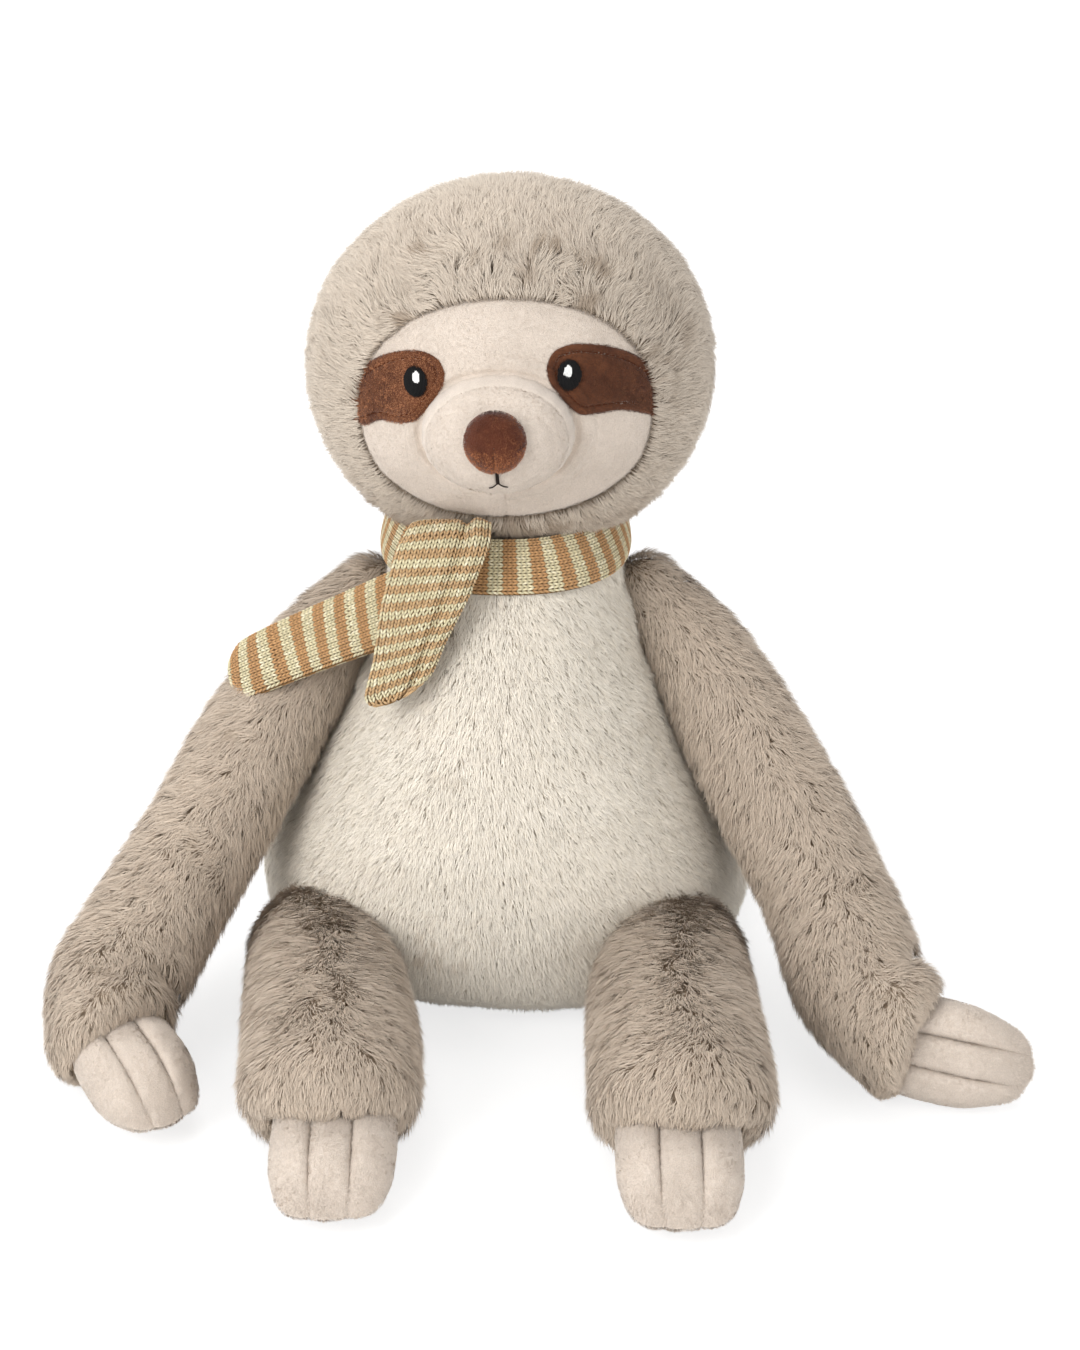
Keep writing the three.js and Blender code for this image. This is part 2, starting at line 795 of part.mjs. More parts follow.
// A strap of knit along a path, its width turned to lie on what is under it. Its edges are
// rounded, and it narrows at its tip.
const strapSteps = 8;
const strapEdgePower = 0.5;
const strapFacePower = 0.8;
const strapTipShares = { starts: 0.85, width: 0.72 };
function strap(points, outward, width, tipWidth, thickness) {
  const path = new THREE.CatmullRomCurve3(points);
  const rings = [];
  for (let i = 0; i <= strapSteps; i += 1) {
    const share = i / strapSteps;
    const along = path.getTangentAt(share);
    const across = new THREE.Vector3().crossVectors(outward, along).normalize();
    const over = new THREE.Vector3().crossVectors(along, across);
    const rounding = share > strapTipShares.starts ? strapTipShares.width : 1;
    const half = (rounding * THREE.MathUtils.lerp(width, tipWidth, share)) / 2;
    const ring = [];
    for (let k = 0; k < smallSides; k += 1) {
      const angle = (2 * Math.PI * k) / smallSides;
      const point = path.getPointAt(share);
      const c = Math.cos(angle);
      const s = Math.sin(angle);
      point.addScaledVector(across, half * Math.sign(c) * Math.abs(c) ** strapEdgePower);
      point.addScaledVector(over, (thickness / 2) * Math.sign(s) * Math.abs(s) ** strapFacePower);
      ring.push(point);
    }
    rings.push(ring);
  }
  return lofted(path.getPointAt(0), rings, path.getPointAt(1));
}

const frontTailPathShares = [
  [-0.2, 0.55, 1],
  [-0.21, 0.645, 0.955],
  [-0.25, 0.685, 0.885],
  [-0.33, 0.705, 0.81],
  [-0.41, 0.715, 0.735],
];
const sideTailPathShares = [
  [-0.33, 0.6, 0.9],
  [-0.55, 0.575, 0.845],
  [-0.76, 0.54, 0.79],
  [-0.93, 0.49, 0.735],
  [-1.06, 0.44, 0.69],
];
function tailPoints(shares) {
  return shares.map(
    ([acrossShare, aheadShare, heightShare]) =>
      new THREE.Vector3(
        torsoHalfWidth * acrossShare,
        bodyMiddle.y - bellyDepth * aheadShare,
        torsoHeight * heightShare,
      ),
  );
}
const frontTailOutward = new THREE.Vector3(0, -0.95, 0.3);
const sideTailOutward = new THREE.Vector3(-0.36, -0.72, 0.59);
const frontTail = (grow) =>
  strap(
    tailPoints(frontTailPathShares),
    frontTailOutward,
    tailWidth + 2 * grow,
    tailTipWidth + 2 * grow,
    tailThickness + 2 * grow,
  );
const scarfFrontTail = cutBy(frontTail(0), [
  torsoForm(clearance),
  collarForm(clearance),
  headRoom(),
]);
const scarfSideTail = cutBy(
  strap(tailPoints(sideTailPathShares), sideTailOutward, tailWidth, tailTipWidth, tailThickness),
  [
    torsoForm(clearance),
    collarForm(clearance),
    frontTail(clearance),
    limbForm(rightArm, clearance),
    headRoom(),
  ],
);

// Materials
function cloth(name, colour, roughness) {
  const material = new THREE.MeshStandardMaterial({ color: colour, roughness, metalness: 0 });
  material.name = name;
  return material;
}
const taupeFur = () => cloth('taupe fur', 0xaa9b8a, 0.95);
const hoodFur = () => cloth('hood fur', 0xc8beaf, 0.95);
const creamFur = () => cloth('cream fur', 0xded7cb, 0.95);
const velour = () => cloth('velour', 0xe1d7cd, 0.85);
const brownVelour = () => cloth('brown velour', 0x6e3c23, 0.85);
const blackEye = () => cloth('black eye', 0x191616, 0.25);
const whiteThread = () => cloth('white thread', 0xf5f3ee, 0.5);
const darkThread = () => cloth('dark thread', 0x201a18, 0.7);
const knit = () => cloth('striped knit', 0xc4a070, 0.9);
const fibre = () => cloth('polyester fibre', 0xf2f2f0, 1);
const beanCloth = () => cloth('bean bag cloth', 0xd8d4cc, 0.9);

// The scene graph: each body is a group that stands at its pivot
const sloth = new THREE.Group();
sloth.name = 'plush_sloth';

function bodyGroup(parent, pivot) {
  const group = new THREE.Group();
  parent.updateWorldMatrix(true, false);
  group.position.copy(parent.worldToLocal(pivot.clone()));
  parent.add(group);
  return group;
}

// Adds a piece that is drawn in the part's frame to a group that only stands elsewhere.
function addPiece(group, pivot, name, solid, material) {
  const geometry = toGeometry(solid);
  geometry.translate(-pivot.x, -pivot.y, -pivot.z);
  const mesh = new THREE.Mesh(geometry, material);
  mesh.name = name;
  group.add(mesh);
}

const origin = new THREE.Vector3();
const torso = bodyGroup(sloth, origin);
addPiece(torso, origin, 'belly_panel', torsoSkin.intersect(frontHalf), creamFur());
addPiece(torso, origin, 'back_panel', torsoSkin.intersect(backHalf), taupeFur());
addPiece(torso, origin, 'seat_panel', seatPanel, creamFur());
addPiece(torso, origin, 'torso_stuffing', torsoStuffing, fibre());
addPiece(torso, origin, 'bean_bag', beanBag(0), beanCloth());
addPiece(torso, origin, 'scarf_collar', scarfCollar, knit());
addPiece(torso, origin, 'scarf_side_tail', scarfSideTail, knit());

const tailPivot = tailPoints(frontTailPathShares)[0];
const frontTailGroup = bodyGroup(torso, tailPivot);
addPiece(frontTailGroup, tailPivot, 'scarf_front_tail', scarfFrontTail, knit());

const neck = bodyGroup(torso, headMiddle);
addPiece(neck, headMiddle, 'neck_stuffing', neckPlug, fibre());

const head = new THREE.Group();
head.rotation.set(
  0,
  THREE.MathUtils.degToRad(headTipDegrees),
  THREE.MathUtils.degToRad(headTurnDegrees),
  'ZYX',
);
neck.add(head);
addPiece(head, headMiddle, 'head_hood', headHood, hoodFur());
addPiece(head, headMiddle, 'face_panel', facePanel, velour());
addPiece(head, headMiddle, 'head_stuffing', headStuffing, fibre());
addPiece(head, headMiddle, 'muzzle', muzzle, velour());
addPiece(head, headMiddle, 'nose', nose, brownVelour());
addPiece(head, headMiddle, 'mouth_stitch', mouthStitch(), darkThread());

[
  ['right', -1],
  ['left', 1],
].forEach(([name, side]) => {
  addPiece(head, headMiddle, `${name}_eye_patch`, eyePatch(side), brownVelour());
  addPiece(head, headMiddle, `${name}_eye`, eye(side), blackEye());
  addPiece(head, headMiddle, `${name}_eye_glint`, glint(side), whiteThread());
});

[
  ['right', 'arm', 'hand', rightArm, rightHand],
  ['left', 'arm', 'hand', leftArm, leftHand],
  ['right', 'leg', 'foot', rightLeg, rightFoot],
  ['left', 'leg', 'foot', leftLeg, leftFoot],
].forEach(([name, limbName, pawName, limb, end]) => {
  const limbGroup = bodyGroup(torso, limb.pivot);
  addPiece(limbGroup, limb.pivot, `${name}_${limbName}_sleeve`, sleeve(limb, end), taupeFur());
  addPiece(limbGroup, limb.pivot, `${name}_${limbName}_stuffing`, limbStuffing(limb, end), fibre());
  const pawGroup = bodyGroup(limbGroup, end.pivot);
  addPiece(pawGroup, end.pivot, `${name}_${pawName}_skin`, pawSkin(end), velour());
  addPiece(pawGroup, end.pivot, `${name}_${pawName}_stuffing`, pawPad(end, 0), fibre());
});

export default sloth;
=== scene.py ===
"""The looks of a seated plush sloth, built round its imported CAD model.

Long pile fabric is real strands of mesh that lean with the nap and gather into locks, on
stuffed cloth skins drawn in from the CAD outline. The face, hands and feet are velour with
sewn creases and a short pile, the eyes are laid threads, and the scarf is knitted loop by
loop. Lengths are millimetres in the part's frame until a mesh is made from them. Right and
left are the toy's own, so its right arm is at -X.
"""

import itertools
import json
import math

import bpy
import numpy as np
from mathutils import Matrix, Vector, kdtree


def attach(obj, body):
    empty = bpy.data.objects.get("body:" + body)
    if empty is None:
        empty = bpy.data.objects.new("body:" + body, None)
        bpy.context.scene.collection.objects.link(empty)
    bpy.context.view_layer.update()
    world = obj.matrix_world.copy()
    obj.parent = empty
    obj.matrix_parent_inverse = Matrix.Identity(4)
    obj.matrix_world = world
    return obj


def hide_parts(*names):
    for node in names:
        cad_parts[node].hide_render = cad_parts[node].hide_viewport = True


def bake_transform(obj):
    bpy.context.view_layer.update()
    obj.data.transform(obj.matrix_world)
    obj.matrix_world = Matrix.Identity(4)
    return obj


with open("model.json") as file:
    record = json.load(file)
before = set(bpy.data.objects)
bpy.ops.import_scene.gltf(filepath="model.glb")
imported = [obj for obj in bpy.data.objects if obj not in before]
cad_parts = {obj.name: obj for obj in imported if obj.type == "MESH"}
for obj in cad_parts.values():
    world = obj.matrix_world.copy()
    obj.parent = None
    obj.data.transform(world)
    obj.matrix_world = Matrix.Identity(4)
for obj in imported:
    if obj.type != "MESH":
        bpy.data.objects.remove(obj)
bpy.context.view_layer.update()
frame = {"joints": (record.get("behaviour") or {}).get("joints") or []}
JOINTS = {joint["child"]: joint for joint in frame["joints"]}

METRE = 1000
FLOOR_GAP = 0.25
SIDES = {"right": False, "left": True}


# Vectors and noise


def unit(vectors):
    """Each vector at length one."""
    vectors = np.asarray(vectors, float)
    return vectors / np.maximum(np.linalg.norm(vectors, axis=-1, keepdims=True), 1e-9)


def dot(a, b):
    """The dot product of each pair, kept as a column."""
    return (np.asarray(a) * np.asarray(b)).sum(-1, keepdims=True)


def laid_on(vectors, normals):
    """The vectors turned down on to the surfaces with these normals."""
    return unit(vectors - dot(vectors, normals) * normals)


def raised(points):
    """The points with those that lie too low put on the floor."""
    points[..., 2] = np.maximum(points[..., 2], FLOOR_GAP)
    return points


def smooth_step(low, high, value):
    share = np.clip((value - low) / (high - low), 0, 1)
    return share * share * (3 - 2 * share)


def bump_at(value, middle, width):
    """1 at the middle, falling to nothing over about that width to each side."""
    return np.exp(-(((value - middle) / width) ** 2))


def wander(points, size, seed=0):
    """Smooth noise between -1 and 1 at each point, in lumps of about this size."""
    cell = np.asarray(points, float) / size + seed * 17.31
    low = np.floor(cell).astype(np.int64)
    share = cell - low
    share = share * share * (3 - 2 * share)
    total = np.zeros(len(cell))
    for corner in itertools.product((0, 1), repeat=3):
        place = low + np.array(corner)
        mixed = (place * np.array([73856093, 19349663, 83492791])).sum(1) + seed * 2654435761
        mixed = (mixed ^ (mixed >> 13)) * 1274126177 & 0xFFFFFFFF
        mixed = (mixed ^ (mixed >> 16)) & 0xFFFF
        weight = np.where(np.array(corner, bool), share, 1 - share).prod(1)
        total += weight * (mixed / 32767.5 - 1)
    return total


def layered(points, size, seed=0):
    """Noise with finer noise on it."""
    return (
        wander(points, size, seed)
        + 0.5 * wander(points, size / 2, seed + 1)
        + 0.25 * wander(points, size / 4, seed + 2)
    ) / 1.75


# Materials


def paint(red, green, blue):
    """A colour given as it looks on a screen, from 0 to 255, as the renderer's own."""
    shares = np.array([red, green, blue]) / 255
    linear = np.where(shares <= 0.04045, shares / 12.92, ((shares + 0.055) / 1.055) ** 2.4)
    return (*linear.tolist(), 1.0)


# A Mix node's sockets for colours: it has others for numbers and vectors between them
MIX_SHARE, MIX_FIRST, MIX_SECOND, MIX_RESULT = 0, 6, 7, 2


class Value:
    """An output in a material. Arithmetic on it adds the nodes that work it out."""

    def __init__(self, recipe, socket):
        self.recipe, self.socket = recipe, socket

    def _math(self, operation, other):
        return self.recipe.add("ShaderNodeMath", {"operation": operation}, {0: self, 1: other})

    def __add__(self, other):
        return self._math("ADD", other)

    def __mul__(self, other):
        return self._math("MULTIPLY", other)

    __radd__ = __add__
    __rmul__ = __mul__

    def eased(self, low, high):
        """0 below low, 1 above high and smooth between."""
        settings = {"interpolation_type": "SMOOTHSTEP"}
        inputs = {"Value": self, "From Min": low, "From Max": high}
        return self.recipe.add("ShaderNodeMapRange", settings, inputs, "Result")

    def _mixed(self, share, first, second, blend):
        settings = {"data_type": "RGBA", "blend_type": blend}
        inputs = {MIX_SHARE: share, MIX_FIRST: first, MIX_SECOND: second}
        return self.recipe.add("ShaderNodeMix", settings, inputs, MIX_RESULT)

    def between(self, first, second):
        """The colour this far from the first to the second."""
        return self._mixed(self, first, second, "MIX")

    def tinted(self, colour):
        """This colour multiplied by another."""
        return self._mixed(1.0, self, colour, "MULTIPLY")


class Recipe:
    """A material being put together round one Principled shader, whose sockets that are the
    same all over are given by name.
    """

    def __init__(self, name, **fixed):
        self.material = bpy.data.materials.new(name)
        self.material.use_nodes = True
        self.nodes = self.material.node_tree.nodes
        self.shader = self.nodes["Principled BSDF"]
        for socket, value in fixed.items():
            self.shader.inputs[socket.replace("_", " ")].default_value = value

    def feed(self, socket, value):
        if isinstance(value, Value):
            self.material.node_tree.links.new(value.socket, socket)
        else:
            socket.default_value = value

    def add(self, kind, settings=None, inputs=None, output=0):
        """A node of this kind with its settings, then its inputs, as the value it gives."""
        node = self.nodes.new(kind)
        for name, value in (settings or {}).items():
            setattr(node, name, value)
        for socket, value in (inputs or {}).items():
            self.feed(node.inputs[socket], value)
        return Value(self, node.outputs[output])

    def attribute(self, name):
        """The three numbers that a mesh carries under this name."""
        colour = self.add("ShaderNodeAttribute", {"attribute_name": name}, None, "Color")
        split = self.add("ShaderNodeSeparateColor", None, {"Color": colour})
        return [Value(self, socket) for socket in split.socket.node.outputs]

    def noise(self, scale, detail=2.0, roughness=0.5):
        """Noise in the object's own space, per metre."""
        place = self.add("ShaderNodeTexCoord", None, None, "Object")
        inputs = {"Vector": place, "Scale": scale, "Detail": detail, "Roughness": roughness}
        return self.add("ShaderNodeTexNoise", None, inputs, "Fac")

    def coloured(self, colour, shade=None):
        """Feeds the base colour, darkened by a shade from 0 to 1 if there is one."""
        if shade is not None:
            grey = self.add("ShaderNodeCombineColor", None, {0: shade, 1: shade, 2: shade})
            colour = colour.tinted(grey)
        self.feed(self.shader.inputs["Base Color"], colour)
        return self

    def bumped(self, height, distance):
        """Raises the surface by the height, which is a share of this distance in metres."""
        bump = self.add("ShaderNodeBump", None, {"Height": height, "Distance": distance})
        self.feed(self.shader.inputs["Normal"], bump)
        return self


def fur_material(name, root, tip, streak, streaks):
    """Fur that is darker at its roots, with darker and lighter locks and strands, and painted shade
    where a nap darkens its locks.
    """
    recipe = Recipe(name, Roughness=0.75, Specular_IOR_Level=0.2, Sheen_Weight=0.2)
    along, own, lock = recipe.attribute("hair")
    colour = along.eased(0.0, 0.75).between(paint(*root), paint(*tip))
    colour = (lock.eased(1 - streaks, 1.0) * 0.85).between(colour, paint(*streak))
    return recipe.coloured(colour, own * 0.24 + 0.86).material


def backing_material(name, colour):
    """The knitted backing that the pile is rooted in."""
    recipe = Recipe(name, Roughness=0.95, Specular_IOR_Level=0.1)
    weave = recipe.noise(scale=900, detail=3.0)
    dark = tuple(0.72 * c for c in paint(*colour)[:3]) + (1.0,)
    recipe.coloured(weave.eased(0.3, 0.7).between(dark, paint(*colour)))
    return recipe.bumped(weave, 0.0004).material


def velour_material(name, light, deep, nap_scale=55.0):
    """Short pile: brushed lighter and darker in patches, with a fine nap."""
    recipe = Recipe(name, Roughness=0.85, Specular_IOR_Level=0.15, Sheen_Weight=0.35,
                    Sheen_Roughness=0.4)
    brushed = recipe.noise(nap_scale, detail=3.0, roughness=0.6)
    pile = recipe.noise(scale=2200, roughness=0.75)
    colour = brushed.eased(0.35, 0.7).between(paint(*light), paint(*deep))
    return recipe.coloured(colour, pile * 0.44 + 0.78).bumped(pile, 0.00035).material


def thread_material(name, colour, roughness=0.45, shine=0.4):
    """Embroidery thread: a soft shine and a faint twist."""
    recipe = Recipe(name, Base_Color=paint(*colour), Roughness=roughness, Specular_IOR_Level=shine)
    return recipe.bumped(recipe.noise(scale=1800), 0.0001).material


def yarn_material(name, first, second, fleck):
    """Two-colour yarn: the mesh says which stripe a loop is in, how pale it is, and how lit its
    legs are painted, with painted shade where they dive under the next loop.
    """
    recipe = Recipe(name, Roughness=0.85, Specular_IOR_Level=0.15, Sheen_Weight=0.2)
    stripe, own, over = recipe.attribute("loop")
    colour = stripe.between(paint(*first), paint(*second))
    colour = (own.eased(0.72, 0.95) * stripe * 0.6).between(colour, paint(*fleck))
    # Painted shade: each leg darker at its ends, where it dives under the next loop
    recipe.coloured(colour, (own * 0.22 + 0.86) * (over * 0.5 + 0.52))
    return recipe.bumped(recipe.noise(scale=3000), 0.0002).material


TAUPE_FUR = fur_material("taupe_pile", (178, 159, 138), (212, 196, 178), (160, 139, 115), 0.44)
HOOD_FUR = fur_material("hood_pile", (172, 155, 137), (214, 201, 185), (164, 146, 127), 0.36)
CREAM_FUR = fur_material("cream_pile", (237, 226, 209), (250, 243, 230), (226, 213, 195), 0.34)
TAUPE_BACKING = backing_material("taupe_backing", (164, 145, 124))
HOOD_BACKING = backing_material("hood_backing", (156, 138, 118))
CREAM_BACKING = backing_material("cream_backing", (226, 214, 196))
VELOUR = velour_material("pale_velour", (224, 211, 198), (213, 200, 187))
VELOUR_PILE = fur_material("pale_velour_pile", (213, 200, 186), (227, 214, 201), (217, 204, 190), 0.3)
BROWN_VELOUR = velour_material("brown_velour", (108, 65, 42), (84, 48, 32), 90.0)
BROWN_PILE = fur_material("brown_velour_pile", (112, 67, 44), (174, 116, 80), (60, 33, 22), 0.6)
NOSE_VELOUR = velour_material("nose_velour", (102, 56, 38), (84, 44, 30), 120.0)
NOSE_PILE = fur_material("nose_velour_pile", (96, 50, 34), (178, 112, 72), (88, 44, 32), 0.75)
BROWN_THREAD = thread_material("brown_thread", (84, 44, 26), 0.85, 0.1)
BLACK_THREAD = thread_material("black_thread", (12, 11, 12), 0.6, 0.2)
WHITE_THREAD = thread_material("white_thread", (240, 240, 238), 0.4)
MOUTH_THREAD = thread_material("mouth_thread", (36, 29, 26), 0.8, 0.1)
KNIT_YARN = yarn_material("striped_yarn", (200, 155, 106), (230, 218, 180), (242, 234, 208))
# The knit's ground: the tan yarn darkened, as painted shade seen between the loops
KNIT_SHADE_GROUND = backing_material("knit_shade_ground", (150, 117, 78))


# Meshes


def build(name, points, faces, material, normals=None, marks=None, bake_map=None):
    """A smooth mesh object. Faces is a list of arrays, each of faces with one corner count.
    Marks are three numbers a point, by name, and bake_map is a place in the unit square a point.
    """
    mesh = bpy.data.meshes.new(name)
    points = np.asarray(points, float).reshape(-1, 3)
    corners = np.concatenate([np.asarray(part).ravel() for part in faces])
    sizes = np.concatenate([np.full(len(part), np.shape(part)[1]) for part in faces])
    mesh.vertices.add(len(points))
    mesh.vertices.foreach_set("co", (points / METRE).astype(np.float32).ravel())
    mesh.loops.add(len(corners))
    mesh.loops.foreach_set("vertex_index", corners.astype(np.int32))
    mesh.polygons.add(len(sizes))
    starts = np.concatenate([[0], np.cumsum(sizes)[:-1]])
    mesh.polygons.foreach_set("loop_start", starts.astype(np.int32))
    mesh.update(calc_edges=True)
    mesh.shade_smooth()
    for mark, numbers in (marks or {}).items():
        layer = mesh.attributes.new(mark, "FLOAT_COLOR", "POINT")
        filled = np.ones((len(points), 4), np.float32)
        filled[:, :3] = numbers
        layer.data.foreach_set("color", filled.ravel())
    if bake_map is not None:
        layer = mesh.uv_layers.new(name="OFBake")
        layer.data.foreach_set("uv", bake_map[corners].astype(np.float32).ravel())
    if normals is not None:
        layer = mesh.attributes.new("custom_normal", "FLOAT_VECTOR", "POINT")
        layer.data.foreach_set("vector", normals.astype(np.float32).ravel())
    mesh.materials.append(material)
    piece = bpy.data.objects.new(name, mesh)
    bpy.context.scene.collection.objects.link(piece)
    return piece


def place(piece, body, slot, replaces=(), fill=None):
    """Sets a piece on its CAD body and hides the nodes that it stands for. Its slot is not used."""
    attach(piece, body)
    if replaces:
        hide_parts(*replaces)
    return piece


class Skin:
    """A surface of points and faces, with a normal at each point."""

    def __init__(self, points, faces):
        self.points, self.faces = np.asarray(points, float), np.asarray(faces)
        self.normals = self._normals()

    def triangles(self):
        if self.faces.shape[1] == 3:
            return self.faces
        return np.concatenate([self.faces[:, [0, 1, 2]], self.faces[:, [0, 2, 3]]])

    def _normals(self):
        triangles = self.triangles()
        a, b, c = (self.points[triangles[:, k]] for k in range(3))
        flat = np.cross(b - a, c - a)
        total = np.zeros_like(self.points)
        for axis, k in itertools.product(range(3), range(3)):
            total[:, axis] += np.bincount(triangles[:, k], flat[:, axis], len(self.points))
        return unit(total)

    def moved(self, distance):
        """The surface moved out along its normals, by one distance or one for each point."""
        return Skin(self.points + self.normals * np.reshape(distance, (-1, 1)), self.faces)

    def lumpy(self, *lumps):
        """The surface with lumps of filling under it, by their height, size and seed."""
        rise = sum(height * layered(self.points, size, seed) for height, size, seed in lumps)
        return self.moved(rise)

    def part(self, kept):
        """The faces whose points are all kept."""
        faces = self.faces[kept[self.faces].all(1)]
        used = np.unique(faces)
        index = np.zeros(len(self.points), int)
        index[used] = np.arange(len(used))
        cut = Skin(self.points[used], index[faces])
        cut.normals = self.normals[used]
        return cut


def sew(name, skin, material, body, slot, replaces=(), fill=None):
    """A piece of cloth on a skin, set on its CAD body."""
    return place(build(name, skin.points, [skin.faces], material), body, slot, replaces, fill)


def sheet_faces(rows, columns, closed=False):
    """The quads of a grid of points, whose columns may close on themselves."""
    row, column = np.meshgrid(
        np.arange(rows - 1), np.arange(columns if closed else columns - 1), indexing="ij"
    )
    here = row * columns + column
    there = row * columns + (column + 1) % columns
    return np.stack([here, there, there + columns, here + columns], -1).reshape(-1, 4)


DEFAULT_UP = np.array([0.31, -0.9, 0.3])


def rods(paths, radius, sides, ups=None):
    """Thin rods along many paths of equal point count, tapered by a radius for each point."""
    paths = np.asarray(paths, float)
    count, steps = paths.shape[:2]
    radius = np.broadcast_to(radius, (count, steps))
    along = unit(np.gradient(paths, axis=1))
    if ups is None:
        ups = DEFAULT_UP
    up = np.broadcast_to(np.asarray(ups, float).reshape(-1, 1, 3), (count, 1, 3))
    side = unit(np.cross(along, up))
    over = np.cross(side, along)
    turn = np.linspace(0, 2 * math.pi, sides, endpoint=False)
    ring = (
        side[:, :, None] * np.cos(turn)[None, None, :, None]
        + over[:, :, None] * np.sin(turn)[None, None, :, None]
    )
    points = paths[:, :, None] + ring * radius[:, :, None, None]
    one = sheet_faces(steps, sides, closed=True)
    faces = one[None] + (np.arange(count) * steps * sides)[:, None, None]
    return points.reshape(-1, 3), faces.reshape(-1, 4)[:, ::-1]


# Fur

STRAND_WAIST = 0.48
STRAND_CORNERS = np.array([[0.5, 0.1], [0.15, 0.5], [0.85, 0.5], [0.5, 0.9]])
STRAND_TURN, STRAND_ROLL, STRAND_SWAY = 0.24, 0.3, 0.04
LOCK_STAND = 0.07
SHADING_SOFTNESS = 0.8
PILE_WIDTH, PILE_LOCK, PILE_STAND = 0.16, 1.2, 0.75


def rooted(skin, density, seed):
    """Random places on a skin, so many for each square millimetre, and their normals."""
    random = np.random.default_rng(seed)
    triangles = skin.triangles()
    a, b, c = (skin.points[triangles[:, k]] for k in range(3))
    area = np.linalg.norm(np.cross(b - a, c - a), axis=1) / 2
    count = int(area.sum() * density)
    picked = random.choice(len(triangles), count, p=area / area.sum())
    u, v = random.random(count), random.random(count)
    flip = u + v > 1
    u, v = np.where(flip, 1 - u, u)[:, None], np.where(flip, 1 - v, v)[:, None]
    weights = (1 - u - v, u, v)
    roots = sum(w * p[picked] for w, p in zip(weights, (a, b, c)))
    normals = sum(w * skin.normals[triangles[picked, k]] for k, w in enumerate(weights))
    return roots, unit(normals), random


def nearest(points, centres):
    """For each point the number of its nearest centre."""
    tree = kdtree.KDTree(len(centres))
    for number, centre in enumerate(centres):
        tree.insert(centre, number)
    tree.balance()
    return np.array([tree.find(point)[1] for point in points])


def leaves(roots, bend, tip, normals, width, random):
    """Each strand as a thin leaf of four corners, which are its root, the two sides of its
    waist and its tip, with the way that each corner is shaded.
    """
    t = STRAND_WAIST
    waist = roots * (1 - t) ** 2 + bend * 2 * t * (1 - t) + tip * t**2
    path = raised(np.stack([roots, waist, waist, tip], 1))
    along = unit(path[:, 3] - path[:, 0])
    face = unit(normals - dot(normals, along) * along)
    roll = random.normal(scale=STRAND_ROLL, size=(len(roots), 1))
    face = face * np.cos(roll) + np.cross(along, face) * np.sin(roll)
    side = np.cross(along, face) * width / 2 * random.uniform(0.75, 1.25, (len(roots), 1))
    points = path + side[:, None] * np.array([0, -1, 1, 0])[:, None]
    rising = unit(np.stack([waist - roots, along, along, tip - waist], 1))
    facing = unit(face[:, None] - dot(face[:, None], rising) * rising)
    return points, unit((1 - SHADING_SOFTNESS) * facing + SHADING_SOFTNESS * normals[:, None])


def bake_cells(count):
    """A place in the unit square for each corner of each strand, a small cell for a strand."""
    cells = int(math.ceil(math.sqrt(count)))
    cell = np.stack([np.arange(count) % cells, np.arange(count) // cells], 1)[:, None]
    return ((cell + STRAND_CORNERS[None]) / cells).reshape(-1, 2)


def grow_fur(name, skin, nap, material, seed, keep=None, length=9.0, density=4.2, width=0.28,
             lock=3.2, gather=0.2, tousle=0.26, loose=0.12):
    """Fur over a skin, with so many strands for each square millimetre. Nap gives, for roots
    and normals, which way each strand leans, how far it stands up from 0 to 1, how long it
    is as a share of the fur's length, and how dark its lock is from 0 to 1, painted shade included
    where a nap paints some. Locks are so wide: each gathers its tips, turns as it is tousled and
    stands more or less loosely.
    """
    roots, normals, random = rooted(skin, density, seed)
    if keep is not None:
        kept = keep(roots)
        roots, normals = roots[kept], normals[kept]
    count = len(roots)
    lean, stand, share, dark = nap(roots, normals)
    locks = max(1, int(count / (lock * lock * density)))
    centres = random.choice(count, locks, replace=False)
    member = nearest(roots, roots[centres])
    turn = tousle * random.normal(size=locks)[member] + STRAND_TURN * random.normal(size=count)
    turn = (turn + tousle * (wander(roots, 24, seed) + 0.7 * wander(roots, 9, seed + 3)))[:, None]
    lean = laid_on(lean, normals)
    lean = lean * np.cos(turn) + np.cross(normals, lean) * np.sin(turn)
    stand = stand + random.normal(scale=LOCK_STAND, size=locks)[member]
    stand = np.clip(stand + random.normal(scale=loose, size=count), 0, 1)[:, None]
    reach = (length * share * random.uniform(0.74, 1.1, count))[:, None]
    tip = roots + reach * (normals * (0.28 + 0.5 * stand) + lean * (0.84 - 0.5 * stand))
    bend = roots + reach * normals * (0.26 + 0.3 * stand)
    middle = centres[member]
    together = tip[middle] + 0.5 * (roots - roots[middle])
    tip += gather * random.uniform(0.3, 1.0, (count, 1)) * (together - tip)
    bend += np.cross(lean, normals) * random.normal(scale=STRAND_SWAY, size=(count, 1)) * reach
    points, shading = leaves(roots, bend, tip, normals, width, random)
    marks = np.empty((count, 4, 3))
    marks[:, :, 0] = np.array([0, STRAND_WAIST, STRAND_WAIST, 1])
    marks[:, :, 1] = random.random((count, 1))
    # The third mark is how dark a strand's lock is: random tone, with painted shade where the nap
    # gives some
    tint = 0.35 * random.random(locks)[member] + 0.65 * (0.5 + 0.6 * layered(roots, 22, seed + 9))
    marks[:, :, 2] = np.clip(tint + dark, 0, 1)[:, None]
    base = (np.arange(count) * 4)[:, None]
    faces = [base + np.array([0, 2, 1]), base + np.array([1, 2, 3])]
    return build(name, points, faces, material, shading.reshape(-1, 3),
                 {"hair": marks.reshape(-1, 3)}, bake_cells(count))


